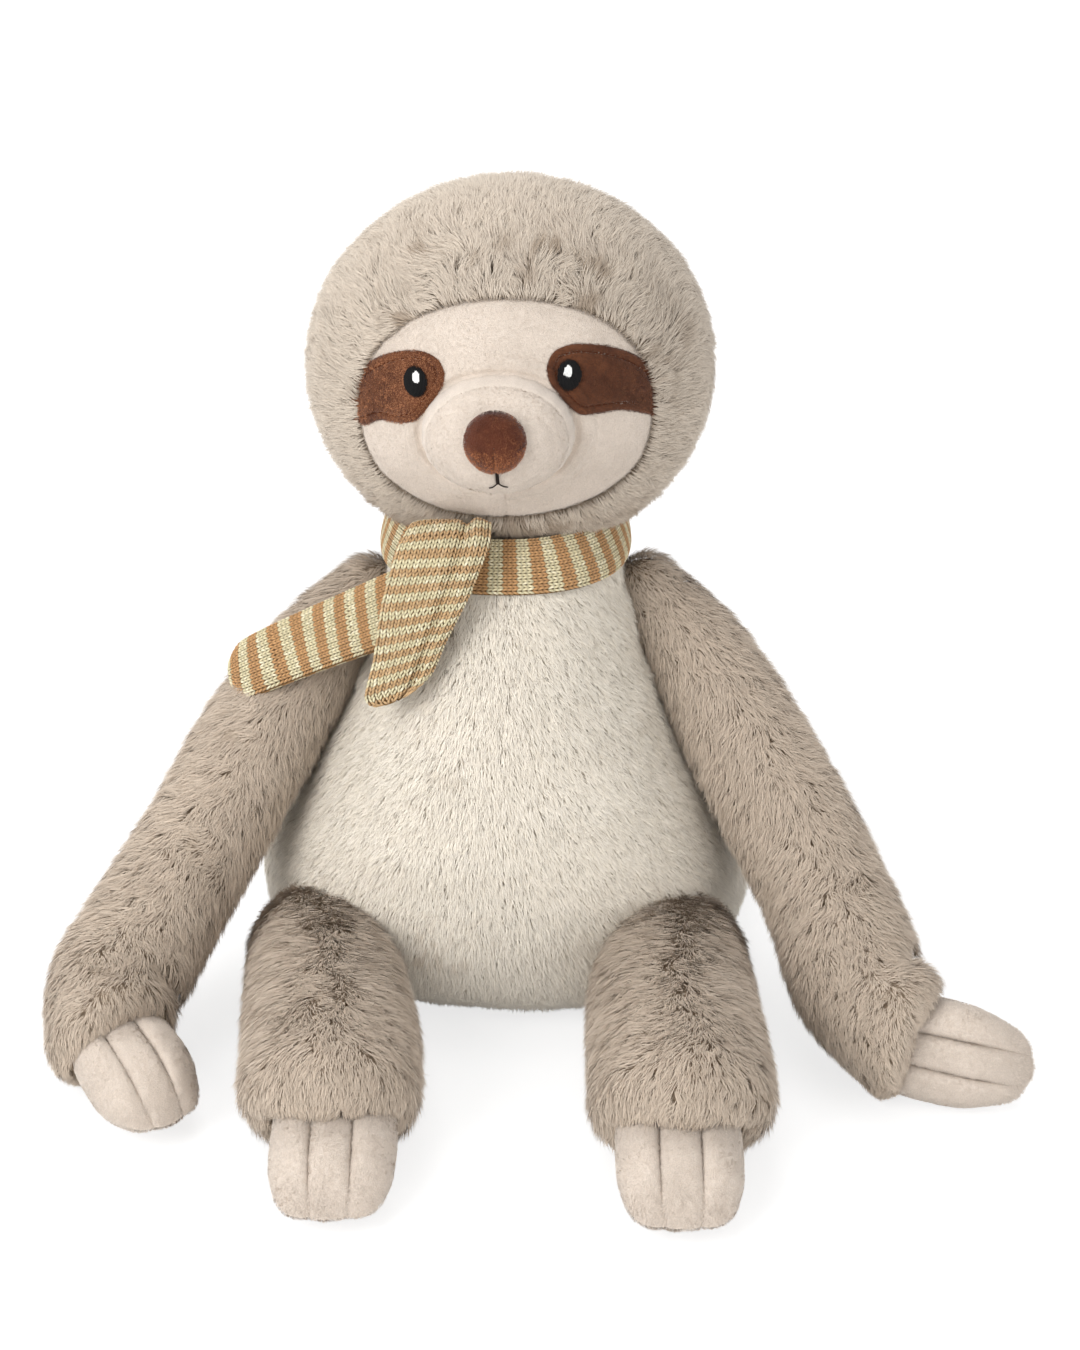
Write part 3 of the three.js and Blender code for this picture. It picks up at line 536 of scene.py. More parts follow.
def lay_pile(name, skin, material, body, slot, seed, length, density, keep=None, look=None):
    """The short pile of velour, which blurs its edges. Look gives, for roots, how long the
    pile is as a share of the length and how dark it is painted, with painted shade on the eye patches
    and painted sheen on the nose.
    """
    def nap(roots, normals):
        lean = np.stack([wander(roots, 7, seed), wander(roots, 7, seed + 5), -np.ones(len(roots))], 1)
        share, dark = look(roots) if look else (1.0, 0.0)
        none = np.zeros(len(roots))
        return lean, none + PILE_STAND, none + share, none + dark

    fur = grow_fur(name, skin, nap, material, seed, keep, length, density, PILE_WIDTH, PILE_LOCK,
                   tousle=0.6)
    place(fur, body, slot)


# Body

BODY_HEIGHT, BODY_HALF_WIDTH, BELLY_DEPTH, BACK_DEPTH = 168.0, 91.0, 98.0, 80.0
BODY_SEAM_Y = -2.0
BODY_ROUNDNESS = 2.3
HEIGHT_SHARES = [0, 0.02, 0.07, 0.15, 0.26, 0.38, 0.5, 0.62, 0.74, 0.85, 0.94, 1]
WIDTH_SHARES = [0.81, 0.88, 0.96, 1, 0.985, 0.88, 0.745, 0.625, 0.535, 0.475, 0.445, 0.4]
FRONT_SHARES = [0.74, 0.85, 0.94, 0.985, 1, 0.975, 0.915, 0.83, 0.73, 0.625, 0.53, 0.44]
BACK_SHARES = [0.8, 0.88, 0.95, 1, 0.99, 0.94, 0.86, 0.77, 0.69, 0.62, 0.56, 0.5]
PILE_INSET = 2.6
PANEL_OVERLAP = 3
SEAT_Z, SEAT_TUCK, TUCK_HEIGHT = 0.4, 11.0, 24.0
BODY_FUR_TOP = 156
BODY_SIDES = 120


def curve_through(stations, values, wanted):
    """A smooth curve through values at their stations."""
    stations, values = np.asarray(stations, float), np.asarray(values, float)
    slopes = np.gradient(values, stations)
    k = np.clip(np.searchsorted(stations, wanted) - 1, 0, len(stations) - 2)
    gap = stations[k + 1] - stations[k]
    t = (wanted - stations[k]) / gap
    return (
        values[k] * (1 + 2 * t) * (1 - t) ** 2
        + gap * slopes[k] * t * (1 - t) ** 2
        + values[k + 1] * t * t * (3 - 2 * t)
        + gap * slopes[k + 1] * t * t * (t - 1)
    )


def body_ring(heights, angles, grow=0.0, tuck=0.0):
    """Points round the body at each height, by their angle from the toy's left side. The
    front is tucked in at the seat.
    """
    share = np.clip(heights / BODY_HEIGHT, 0, 1)
    half = BODY_HALF_WIDTH * curve_through(HEIGHT_SHARES, WIDTH_SHARES, share) + grow
    front = BELLY_DEPTH * curve_through(HEIGHT_SHARES, FRONT_SHARES, share) + grow
    front = front - tuck * np.clip(1 - heights / TUCK_HEIGHT, 0, 1) ** 2
    back = BACK_DEPTH * curve_through(HEIGHT_SHARES, BACK_SHARES, share) + grow
    c, s = np.cos(angles)[None], np.sin(angles)[None]
    depth = np.where(s < 0, front[:, None], back[:, None])
    power = 2 / BODY_ROUNDNESS
    x = np.sign(c) * half[:, None] * np.abs(c) ** power
    y = BODY_SEAM_Y + np.sign(s) * depth * np.abs(s) ** power
    z = np.broadcast_to(np.asarray(heights, float)[:, None], x.shape)
    return np.stack([x, y, z], -1)


body_angles = np.linspace(0, 2 * math.pi, BODY_SIDES, endpoint=False)
body_heights = np.concatenate([np.linspace(SEAT_Z, 12, 10), np.linspace(14, 167, 62)])
body_rings = body_ring(body_heights, body_angles, -PILE_INSET, SEAT_TUCK)
body_skin = Skin(body_rings.reshape(-1, 3), sheet_faces(len(body_heights), BODY_SIDES, True))
body_skin = body_skin.lumpy((0.7, 34, 5))


def belly_nap(points, normals):
    """The belly's pile hangs and spreads from its middle, and stands in faint level bands. It is
    painted darker under the scarf and low down by the seat, as painted shade.
    """
    spread = np.clip(points[:, 0] / 60, -1, 1)
    lean = np.stack([0.6 * spread + 0.15, np.zeros(len(points)), -np.ones(len(points))], 1)
    bands = wander(points * np.array([0.3, 0.3, 2.2]), 17, 21)
    # Painted shade: a darker spot on the chest under the scarf, and darker towards the seat
    middle = bump_at(points[:, 0], 0, 22) * bump_at(points[:, 2], 118, 26)
    painted_shade = 0.25 * middle + 0.3 * smooth_step(16, 2, points[:, 2])
    return lean, 0.34 + 0.2 * bands, 0.85 + 0.12 * bands, 0.16 * bands + painted_shade - 0.1


def hanging_nap(points, normals):
    """Fur that hangs straight, a little away from the middle."""
    lean = np.stack([0.2 * np.sign(points[:, 0]), np.zeros(len(points)), -np.ones(len(points))], 1)
    none = np.zeros(len(points))
    return lean, none + 0.3, none + 1, none


def body_side(front, left):
    """Keeps the roots on one quarter of the body, clear of the scarf."""
    def keep(points):
        ahead, over = points[:, 1] < BODY_SEAM_Y, points[:, 0] > 0
        return (ahead == front) & (over == left) & (points[:, 2] < BODY_FUR_TOP)
    return keep


belly_cloth = body_skin.part(body_skin.points[:, 1] < BODY_SEAM_Y + PANEL_OVERLAP)
back_cloth = body_skin.part(body_skin.points[:, 1] > BODY_SEAM_Y - PANEL_OVERLAP)
sew("belly_cloth", belly_cloth, CREAM_BACKING, "torso", "cream_fur",
    ["belly_panel", "torso_stuffing"], 0.8)
sew("back_cloth", back_cloth, TAUPE_BACKING, "torso", "taupe_fur", ["back_panel"], 0.8)
for side, left in SIDES.items():
    place(grow_fur(f"belly_fur_{side}", body_skin, belly_nap, CREAM_FUR, 11 + left,
                   body_side(True, left), 7.8, density=4.5, width=0.27, lock=2.8, gather=0.08,
                   tousle=0.14, loose=0.07),
          "torso", "cream_fur")
    place(grow_fur(f"back_fur_{side}", body_skin, hanging_nap, TAUPE_FUR, 13 + left,
                   body_side(False, left), density=3.3, width=0.34),
          "torso", "taupe_fur")

# The flat seat, in rings from the body's lowest one to its middle
seat_ring = body_ring(np.array([SEAT_Z]), body_angles, -PILE_INSET, SEAT_TUCK)[0]
seat_shares = np.concatenate([np.linspace(1, 0.93, 5), np.linspace(0.85, 0.02, 12)])
seat_middle = np.array([0, BODY_SEAM_Y, SEAT_Z])
seat_points = seat_middle + (seat_ring - seat_middle)[None] * seat_shares[:, None, None]
seat_points = seat_points.reshape(-1, 3)
seat_points[:, 2] = 0.35 + 0.15 * layered(seat_points, 9, 4)
seat_faces = sheet_faces(len(seat_shares), BODY_SIDES, True)[:, ::-1]
sew("seat_cloth", Skin(seat_points, seat_faces), CREAM_BACKING, "torso", "cream_fur",
    ["seat_panel", "bean_bag"])


# Arms and legs

LIMB_SIDES, LIMB_STEPS = 60, 64
WRIST_STEP = 52
PAW_LENGTH, PAW_HALF_THICKNESS = 45.0, 11.6
CUFF_EASE, LINING_THICKNESS = 0.9, 1.6
LIMB_FUR_STAND = 0.28
# The cuff's rings: how far past the limb's end, how wide for its radius, how far drawn in
CUFF = [(1.6, 1.01, 0), (3.2, 1, 0.03), (4.6, 0.97, 0.14), (5.8, 0.92, 0.36), (6.6, 0.86, 0.68),
        (6.9, 0.8, 1)]
CUFF_REACH = CUFF[-1][0]
LINING_REACHES = [6.4, 4.0, -2.0]
BLEND_BEHIND, BLEND_AHEAD = 6, 14


def pivot_of(body):
    """The place of the joint that a body turns about."""
    return np.array(JOINTS[body]["pos_m"]) * METRE


def densely(points, count):
    """A smooth line through the points, as so many evenly spread ones. Points may carry
    further numbers, such as a radius.
    """
    points = np.asarray(points, float)
    steps = np.linalg.norm(np.diff(points[:, :3], axis=0), axis=1)
    lengths = np.concatenate([[0], np.cumsum(steps)])
    wanted = np.linspace(0, lengths[-1], count)
    return np.stack([curve_through(lengths, column, wanted) for column in points.T], 1)


def limb_skin(knots, paw, lip, seed):
    """A limb's stuffed skin with its lining, its furred part, and its middle line. The limb
    runs through knots of a place and a radius, from a round root to a cuff that is drawn in
    round its paw. Lip is how much further the cuff reaches over the paw, and on which side.
    """
    pointing, facing, half_width = paw
    pointing = unit(pointing)
    across = unit(np.cross(unit(facing), pointing))
    thick = np.cross(pointing, across)
    line = densely(knots, LIMB_STEPS)
    path, radii = line[:, :3], line[:, 3]
    along = unit(np.gradient(path, axis=0))
    turn = np.linspace(0, 2 * math.pi, LIMB_SIDES, endpoint=False)[:, None]
    rings = []

    def add(centre, direction, radius, ahead=0.0, drawn=0.0, lined=0.0):
        """A ring round the limb, drawn in by this share to the paw's own oval."""
        side = unit(np.cross([0, 0, 1], direction))
        over = np.cross(direction, side)
        spoke = side * np.cos(turn) + over * np.sin(turn)
        sides = np.hypot(dot(spoke, across) / (half_width + CUFF_EASE - lined),
                         dot(spoke, thick) / (PAW_HALF_THICKNESS + CUFF_EASE - lined))
        towards = np.clip(dot(spoke, unit(lip[1])), 0, 1)
        reach = ahead * (1 + lip[0] / CUFF_REACH * towards**0.7)
        width = radius * (1 - drawn) + drawn / sides
        rings.append(centre + direction * reach + spoke * width)

    for lean in np.linspace(0.12, math.pi / 2, 7)[:-1]:
        add(path[0] - along[0] * radii[0] * math.cos(lean), along[0], radii[0] * math.sin(lean))
    for step, (centre, direction, radius) in enumerate(zip(path, along, radii)):
        bend = smooth_step(WRIST_STEP, LIMB_STEPS, step)
        add(centre, unit(direction * (1 - bend) + pointing * bend), radius)
    for ahead, share, drawn in CUFF:
        add(path[-1], pointing, radii[-1] * share, ahead, drawn)
    for ahead in LINING_REACHES:
        add(path[-1], pointing, 0.0, ahead, 1.0, LINING_THICKNESS)
    points = raised(np.concatenate(rings))
    whole = Skin(points, sheet_faces(len(rings), LIMB_SIDES, True)).lumpy((0.55, 22, seed))
    raised(whole.points)
    outer = np.arange(len(points)) < len(points) - len(LINING_REACHES) * LIMB_SIDES
    return whole, whole.part(outer), path


def limb_nap(path, seam, along_share, parting):
    """Fur that runs down a limb and parts along a seam that faces this way, where it is
    tousled in places. It is shorter at the cuff. Painted shade darkens it on its undersides and at the
    cuff.
    """
    along = unit(np.gradient(path, axis=0))
    seam = unit(seam)

    def nap(points, normals):
        gaps = np.linalg.norm(points[:, None] - path[None], axis=2)
        weights = np.exp(-(((gaps - gaps.min(1, keepdims=True)) / 6) ** 2))
        running = unit(weights @ along)
        facing = unit(seam - dot(seam[None], running) * running)
        away = -facing + dot(facing, normals) * normals
        away = away / np.maximum(0.5, np.linalg.norm(away, axis=1))[:, None]
        run = weights @ np.linspace(0, 1, len(path)) / weights.sum(1)
        end = smooth_step(0.88, 1.0, run)
        near_seam = bump_at((facing * normals).sum(1), 1, 0.22) * smooth_step(0.1, 0.5, run)
        tousled = near_seam * smooth_step(-0.2, 0.5, wander(points, 15, 77))
        swirl = 1.5 * tousled[:, None] * wander(points, 8, 78)[:, None] * np.cross(normals, running)
        parted = parting * (0.2 + 0.8 * smooth_step(0.08, 0.4, run))[:, None]
        lean = running * (along_share * (1 - 0.45 * end))[:, None] + parted * away + swirl
        # Painted shade: darker where the fur faces down, and at the cuff where it rolls over the paw
        under = smooth_step(0.0, -0.6, normals[:, 2])
        dark = 0.24 * tousled + 0.2 * under + 0.15 * end - 0.2
        stand = LIMB_FUR_STAND + 0.12 * tousled - 0.1 * end
        return lean, stand, 1 - 0.1 * tousled - 0.35 * end, dark

    return nap


def clothe_limb(body, paw_body, knots, lip, seam, along_share, parting, seed):
    """A limb's stuffed sleeve with its lining, and the fur on it. The cuff is sewn to the
    paw.
    """
    paw = PAWS[paw_body]
    whole, furred, path = limb_skin(knots, paw, lip, seed)
    cloth = build(f"{body}_cloth", whole.points, [whole.faces], TAUPE_BACKING)
    nap = limb_nap(path, seam, along_share, parting)
    fur = grow_fur(f"{body}_fur", furred, nap, TAUPE_FUR, seed)
    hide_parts(f"{body}_sleeve", f"{body}_stuffing")
    near, far = (path[-1] + reach * unit(paw[0]) for reach in (-BLEND_BEHIND, BLEND_AHEAD))
    for piece in (cloth, fur):
        tuple(near / METRE)
        tuple(far / METRE)
        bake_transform(piece)


# The ways that each paw points and faces, and its half width
FOOT = ((0.0, -1.0, -0.32), (0.0, 0.0, 1.0), 19.3)
PAWS = {
    "right_hand": ((0.53, -0.8, -0.27), (0.1, -0.35, 0.93), 17.2),
    "left_hand": ((0.96, -0.22, -0.12), (0.0, -0.91, 0.41), 16.8),
    "right_foot": FOOT,
    "left_foot": FOOT,
}
# The knots of each limb: a place and a radius, from its root to its cuff
RIGHT_ARM = [(-49, -9, 133, 11), (-66, -20, 116, 15.5), (-83, -33.5, 96, 17.8),
             (-106, -64, 62.5, 18.6), (-125, -97, 38, 19.6), (-132.5, -116, 28, 20.5),
             (-132, -126, 23, 20.8)]
LEFT_ARM = [(50, -9, 134, 11), (64.5, -18.5, 118, 15.5), (78, -31.5, 99.5, 18),
            (97, -57, 72, 19.4), (113, -87, 46.6, 19.5), (122, -113, 30, 20.8),
            (129, -127.5, 24, 21.4)]
RIGHT_LEG = [(-65.5, -76, 22, 22), (-62, -100, 24.8, 24), (-57.3, -135, 26.2, 25.7),
             (-55.5, -155, 25.6, 26.2), (-55, -166, 24.6, 26.4)]
LEFT_LEG = [(59.5, -80, 22, 22), (57.8, -103, 25, 24.4), (56.7, -140, 26.4, 26.2),
            (57.5, -160, 25.8, 26.8), (57.5, -171, 24.8, 27)]
LEG_LIP, LEG_SEAM = (11.5, (0, -0.1, 1)), (0.1, -0.15, 1.0)
clothe_limb("right_arm", "right_hand", RIGHT_ARM, lip=(2, (-0.6, -0.7, 0.3)),
            seam=(0.35, -0.6, 0.72), along_share=1.0, parting=0.55, seed=31)
clothe_limb("left_arm", "left_hand", LEFT_ARM, lip=(5, (0, 0.7, 0.7)),
            seam=(0.2, -0.75, 0.65), along_share=0.9, parting=0.75, seed=32)
clothe_limb("right_leg", "right_foot", RIGHT_LEG, LEG_LIP, LEG_SEAM, 0.5, 1.0, seed=33)
clothe_limb("left_leg", "left_foot", LEFT_LEG, LEG_LIP, LEG_SEAM, 0.5, 1.0, seed=34)


# Head

HEAD_MIDDLE = pivot_of("head")
HOOD_HALVES = np.array([67.2, 59.6, 61.9])
HOOD_SHIFT = np.array([1.9, 0.0, 0.2])
FACE_HALVES = np.array([66.6, 60.0, 61.9])
FACE_SHIFT = 1.6
HEAD_TURN, HEAD_TIP = math.radians(-2.0), math.radians(-2.5)
_turn = np.array([[math.cos(HEAD_TURN), -math.sin(HEAD_TURN), 0],
                  [math.sin(HEAD_TURN), math.cos(HEAD_TURN), 0], [0, 0, 1]])
_tip = np.array([[math.cos(HEAD_TIP), 0, math.sin(HEAD_TIP)], [0, 1, 0],
                 [-math.sin(HEAD_TIP), 0, math.cos(HEAD_TIP)]])
HEAD_AXES = _turn @ _tip
FACE_MIDDLE_X, FACE_MIDDLE_Z = 2.2, -1.0
FACE_HALF_WIDTH, FACE_HALF_HEIGHT = 49.4, 38.0
BROW_ROUNDNESS, CHIN_ROUNDNESS = 2.1, 2.5
MUZZLE_MIDDLE = np.array([0.3, -58.0, -5.4])
MUZZLE_HALVES = np.array([25.2, 21.6, 19.6])
POLE_LEAN = 0.02
HOOD_TUCK, HOOD_EDGE_SHARE, HEAD_FUR_BOTTOM = 4.5, 0.86, 166
NECK_LINE, NECK_RADIUS = [[0, -3, 130], [0, -3, 140], [0, -3, 153]], 18.0


def from_head(points):
    """Head-local points, which are taken from the head's middle, in the part's frame."""
    return np.asarray(points) @ HEAD_AXES.T + HEAD_MIDDLE


def to_head(points):
    """Points of the part's frame, as head-local ones."""
    return (np.asarray(points) - HEAD_MIDDLE) @ HEAD_AXES


def rim_share(x, z):
    """How far a place is from the face's middle, as a share of the face's rim."""
    power = np.where(z > 0, BROW_ROUNDNESS, CHIN_ROUNDNESS)
    return (np.abs(x) ** power + np.abs(z) ** power) ** (1 / power)


def face_share(local):
    """The same of head-local places on the head."""
    return rim_share((local[:, 0] - FACE_MIDDLE_X) / FACE_HALF_WIDTH,
                     (local[:, 2] - FACE_MIDDLE_Z) / FACE_HALF_HEIGHT)


def dome_grid(rows, sides, last):
    """A dome that looks along -Y: how far each point leans from its pole, its turn round the
    pole, and the unit point itself.
    """
    lean, turn = np.meshgrid(np.linspace(POLE_LEAN, last, rows),
                             np.linspace(0, 2 * math.pi, sides, endpoint=False), indexing="ij")
    points = [np.sin(lean) * np.cos(turn), -np.cos(lean), np.sin(lean) * np.sin(turn)]
    return lean, turn, np.stack(points, -1)


def dome_skin(grid):
    """The skin of a dome's head-local grid."""
    faces = sheet_faces(grid.shape[0], grid.shape[1], True)[:, ::-1]
    return Skin(from_head(grid.reshape(-1, 3)), faces)


ball = dome_grid(90, 150, math.pi - 0.03)[2]
head_skin = dome_skin(ball * HOOD_HALVES + HOOD_SHIFT).lumpy((0.8, 36, 3))


def head_nap(points, normals):
    """Fur that lies back from the face, is tousled over the brow, and falls down behind. It is painted
    darker under the chin, as painted shade.
    """
    local = to_head(points)
    outward = unit(local * np.array([1, 0, 1])) + np.array([0, 0.5, 0])
    down = np.array([[0.0, 0.15, -1.0]])
    ahead = smooth_step(-10, -34, local[:, 1])
    behind = smooth_step(-30, 12, local[:, 1])[:, None]
    lean = outward * (1 - behind) + down * behind
    near = face_share(local)
    rim = smooth_step(1.25, 1.0, near) * ahead
    brow = smooth_step(1.75, 1.15, near) * ahead * smooth_step(-2, 22, local[:, 2])
    tufted = brow * (0.35 + 0.65 * smooth_step(-40, -14, local[:, 0]))
    patchy = smooth_step(-0.05, 0.5, wander(points, 8, 55))
    swirl = np.stack([wander(points, 8.5, 56), 0 * near, wander(points, 8.5, 57)], 1)
    lean = lean + 1.9 * tufted[:, None] * swirl
    # Painted shade under the chin
    painted_chin_shade = smooth_step(-28, -48, local[:, 2])
    dark = 0.34 * tufted * patchy + 0.5 * painted_chin_shade
    return lean @ HEAD_AXES.T, 0.34 + 0.16 * tufted, 1 - 0.22 * rim + 0.1 * tufted, dark


def on_hood(left):
    """Keeps the roots on one side, off the face and clear of the neck."""
    def keep(points):
        local = to_head(points)
        facing = (local[:, 1] < 0) & (face_share(local) < 0.97)
        return ~facing & (points[:, 2] > HEAD_FUR_BOTTOM) & ((local[:, 0] > 0) == left)
    return keep


skin_local = to_head(head_skin.points)
skin_share = face_share(skin_local)
sunk = head_skin.moved(-HOOD_TUCK * smooth_step(1.05, 0.96, skin_share))
hood_cloth = sunk.part(~((skin_local[:, 1] < 0) & (skin_share < HOOD_EDGE_SHARE)))
sew("hood_cloth", hood_cloth, HOOD_BACKING, "head", "hood_fur", ["head_hood", "head_stuffing"], 0.85)
for side, left in SIDES.items():
    place(grow_fur(f"hood_fur_{side}", head_skin, head_nap, HOOD_FUR, 41 + left, on_hood(left),
                   9.4, density=4.6, gather=0.26),
          "head", "hood_fur")

neck = Skin(*rods([NECK_LINE], NECK_RADIUS, 40))
sew("neck_stuffing_core", neck, HOOD_BACKING, "neck", "fibre_filling", ["neck_stuffing"])


# The face: a velour panel with cheeks, a muzzle seam and a chin seam

FACE_SIDES = 200
NORMAL_STEP = 0.4


def both_sides(x, middle, width):
    """A bump on each side of the face."""
    return bump_at(x, -middle, width) + bump_at(x, middle, width)


def face_depth(x, z):
    """How far forward the face stands at a head-local place, with its soft modelling."""
    over, up = (x - FACE_SHIFT) / FACE_HALVES[0], z / FACE_HALVES[2]
    dome = FACE_HALVES[1] * np.sqrt(np.clip(1 - over**2 - up**2, 0.02, 1))
    muzzle = np.hypot(x / MUZZLE_HALVES[0], (z - MUZZLE_MIDDLE[2]) / MUZZLE_HALVES[2])
    seam_roll = (1.3 - 0.9 * smooth_step(0, 12, z)) * bump_at(muzzle, 1.16, 0.2)
    seam = 0.9 * bump_at(muzzle, 1.03, 0.05)
    crease = 0.35 * bump_at(muzzle, 1.3, 0.03) * smooth_step(-6, 6, x)
    cheeks = 2.4 * both_sides(x, 35, 13) * bump_at(z, -15, 11)
    eye_hollows = 1.1 * both_sides(x, 15, 9) * bump_at(z, 15, 8)
    brow = 0.9 * bump_at(x, 0, 24) * bump_at(z, 27, 9)
    chin_seam = 1.2 * bump_at(x, 1.2, 0.9) * smooth_step(-25, -28, z)
    return dome + seam_roll - seam - crease + cheeks - eye_hollows + brow - chin_seam


def on_face(x, z, stand_off=0.0):
    """Points of the face, in the part's frame, stood off along its own normals."""
    x, z = np.asarray(x, float), np.asarray(z, float)
    beside, above = x + NORMAL_STEP, z + NORMAL_STEP
    here = np.stack([x, -face_depth(x, z), z], -1)
    right = np.stack([beside, -face_depth(beside, z), z], -1) - here
    up = np.stack([x, -face_depth(x, above), above], -1) - here
    outward = unit(np.cross(right, up))
    stand_off = np.reshape(stand_off, (-1, 1)) if np.ndim(stand_off) else stand_off
    return from_head(here + outward * stand_off), unit(outward @ HEAD_AXES.T)


face_radii = np.concatenate([np.linspace(0.02, 0.5, 30), np.linspace(0.51, 1.08, 56)])
face_turns = np.linspace(0, 2 * math.pi, FACE_SIDES, endpoint=False)
radius, turn = np.meshgrid(face_radii, face_turns, indexing="ij")
radius = radius / rim_share(np.cos(turn), np.sin(turn))
face_x = (FACE_MIDDLE_X + radius * FACE_HALF_WIDTH * np.cos(turn)).ravel()
face_z = (FACE_MIDDLE_Z + radius * FACE_HALF_HEIGHT * np.sin(turn)).ravel()
sink = -3.5 * smooth_step(0.97, 1.08, np.repeat(face_radii, FACE_SIDES))
face_points = on_face(face_x, face_z, sink)[0]
face_skin = Skin(face_points, sheet_faces(len(face_radii), FACE_SIDES, True)[:, ::-1])
face_skin = face_skin.lumpy((0.2, 6, 8), (0.4, 18, 9))
sew("face_cloth", face_skin, VELOUR, "head", "velour", ["face_panel"], 0.85)

# The muzzle: a dome that is gathered a little at its seam, with a stitched line under it
lean, turn, dome = dome_grid(64, 150, 1.72)
gathers = 0.006 * np.sin(26 * turn + 2 * np.sin(3 * turn)) * smooth_step(0.9, 1.5, lean)
rings = 0.008 * bump_at(lean, 0.86, 0.05) + 0.012 * bump_at(lean, 1.2, 0.035)
dome = dome * MUZZLE_HALVES * (1 + gathers - rings)[..., None] + MUZZLE_MIDDLE
dome[..., 1] += 0.7 * bump_at(dome[..., 0], 0.3, 0.8) * smooth_step(-17, -20, dome[..., 2])
muzzle_skin = dome_skin(dome).lumpy((0.2, 7, 14))
sew("muzzle_cloth", muzzle_skin, VELOUR, "head", "velour", ["muzzle"], 0.9)


def on_muzzle(x, z, stand_off=0.0):
    """A head-local place on the muzzle's front, stood off from it."""
    up = np.asarray(z, float) - MUZZLE_MIDDLE[2]
    share = np.clip(1 - (np.asarray(x) / MUZZLE_HALVES[0]) ** 2 - (up / MUZZLE_HALVES[2]) ** 2,
                    0.01, 1)
    here = np.stack([np.asarray(x, float), -MUZZLE_HALVES[1] * np.sqrt(share), up], -1)
    return here + MUZZLE_MIDDLE + unit(here / MUZZLE_HALVES**2) * stand_off


# The nose: a brown pad with a seam down its lower half
NOSE_HALVES = np.array([9.7, 6.2, 10.1])
pad = dome_grid(48, 110, 1.95)[2]
crease = bump_at(pad[..., 0], 0, 0.05) * smooth_step(0.1, -0.25, pad[..., 2])
pad = pad * NOSE_HALVES * (1 - 0.085 * crease)[..., None] + on_muzzle(0.2, -1.7)
nose_skin = dome_skin(pad).lumpy((0.14, 4, 15))
sew("nose_pad", nose_skin, NOSE_VELOUR, "head", "brown_velour", ["nose"], 0.9)


def nose_look(points):
    """The nose's pile is painted paler low down, as a painted sheen on its nap there."""
    return 1.0, 0.85 * smooth_step(-9.5, 1, to_head(points)[:, 2]) - 0.35


lay_pile("nose_pile", nose_skin, NOSE_PILE, "head", "brown_velour", 71, 0.9, 12.0, look=nose_look)

# The mouth: one upright stitch that forks into two short ones
MOUTH_FORK = (0.2, -16.2)
MOUTH_STITCHES = [((0.3, -11.6), MOUTH_FORK), (MOUTH_FORK, (-2.7, -18.6)), (MOUTH_FORK, (3.2, -18.4))]
MOUTH_RADII = np.array([[0.62], [0.22], [0.22]])
share = np.linspace(0, 1, 9)[:, None]
lift = 0.3 + 0.4 * np.sin(math.pi * share[:, 0])
mouth_paths = []
for start, end in MOUTH_STITCHES:
    spots = np.array(start) * (1 - share) + np.array(end) * share
    mouth_paths.append([on_muzzle(x, z, rise) for (x, z), rise in zip(spots, lift)])
mouth = Skin(*rods(from_head(np.array(mouth_paths)), MOUTH_RADII, 8))
sew("mouth_stitch_thread", mouth, MOUTH_THREAD, "head", "dark_thread", ["mouth_stitch"])


def muzzle_share(points):
    """How far places are from the muzzle's middle, as a share of its seam."""
    local = (to_head(points) - MUZZLE_MIDDLE) / MUZZLE_HALVES
    return np.hypot(local[:, 0], local[:, 2])


lay_pile("face_pile", face_skin, VELOUR_PILE, "head", "velour", 72, 0.7, 6.0,
         keep=lambda points: muzzle_share(points) > 1.08)
lay_pile("muzzle_pile", muzzle_skin, VELOUR_PILE, "head", "velour", 73, 0.7, 6.0,
         keep=lambda points: muzzle_share(points) < 0.93)


# Eyes and their patches

# The patches' outlines, by their head-local places across and up
RIGHT_PATCH = [(-52, -4.5), (-51, 8), (-43.6, 14.5), (-36.2, 19), (-28.7, 21.2), (-22.3, 21.0),
               (-17.9, 18.3), (-16.4, 14), (-18.3, 8.9), (-21.9, 4.2), (-26.2, -0.6),
               (-32, -2.6), (-39.4, -3.1), (-46, -6.2)]
LEFT_PATCH = [(53, -8), (53.7, 2), (50.6, 10.4), (45.2, 15.4), (38.2, 19.2), (31, 21.4),
              (24, 22), (19, 20), (17, 15.6), (17.6, 11.5), (20.2, 7.4), (23.4, 2.9),
              (27.2, -0.3), (33, -1.0), (41, -1.9), (48, -5)]
# A patch's rows in from its rim, and how far each stands off the face: it dips at the stitches
PATCH_INSETS = np.array([0, 0.3, 0.7, 1.3, 2.0, 2.35, 2.6, 2.85, 3.2, 3.9])
PATCH_RISES = np.array([0.05, 0.5, 0.72, 0.78, 0.72, 0.5, 0.36, 0.5, 0.72, 0.8])
PATCH_SIDES, PATCH_INNER_ROWS, PATCH_TOP = 260, 16, 0.85
STITCH_INSET, STITCH_RADIUS = 2.6, 0.2
STITCH_RISES = [0.35, 0.6, 0.68, 0.6, 0.35]
STITCH_TAPER = np.array([0.7, 1, 1, 1, 0.7])
SATIN_STEPS = 13
EYES = {"right": (-25.6, 11.6), "left": (23.9, 12.6)}
GLINTS = {"right": (0.7, 1.3), "left": (-0.4, 1.1)}


def closed_curve(points, count):
    """A smooth closed line through the points, as so many evenly spread ones."""
    looped = np.array(points[-3:] + points + points[:3], float)
    lengths = np.concatenate([[0], np.cumsum(np.linalg.norm(np.diff(looped, axis=0), axis=1))])
    wanted = np.linspace(lengths[3], lengths[3 + len(points)], 6 * count, endpoint=False)
    fine = np.stack([curve_through(lengths, looped[:, k], wanted) for k in range(2)], 1)
    steps = np.linalg.norm(np.roll(fine, -1, 0) - fine, axis=1)
    run = np.concatenate([[0], np.cumsum(steps)])
    even = np.linspace(0, run[-1], count, endpoint=False)
    fine = np.concatenate([fine, fine[:1]])
    return np.stack([np.interp(even, run, fine[:, k]) for k in range(2)], 1)


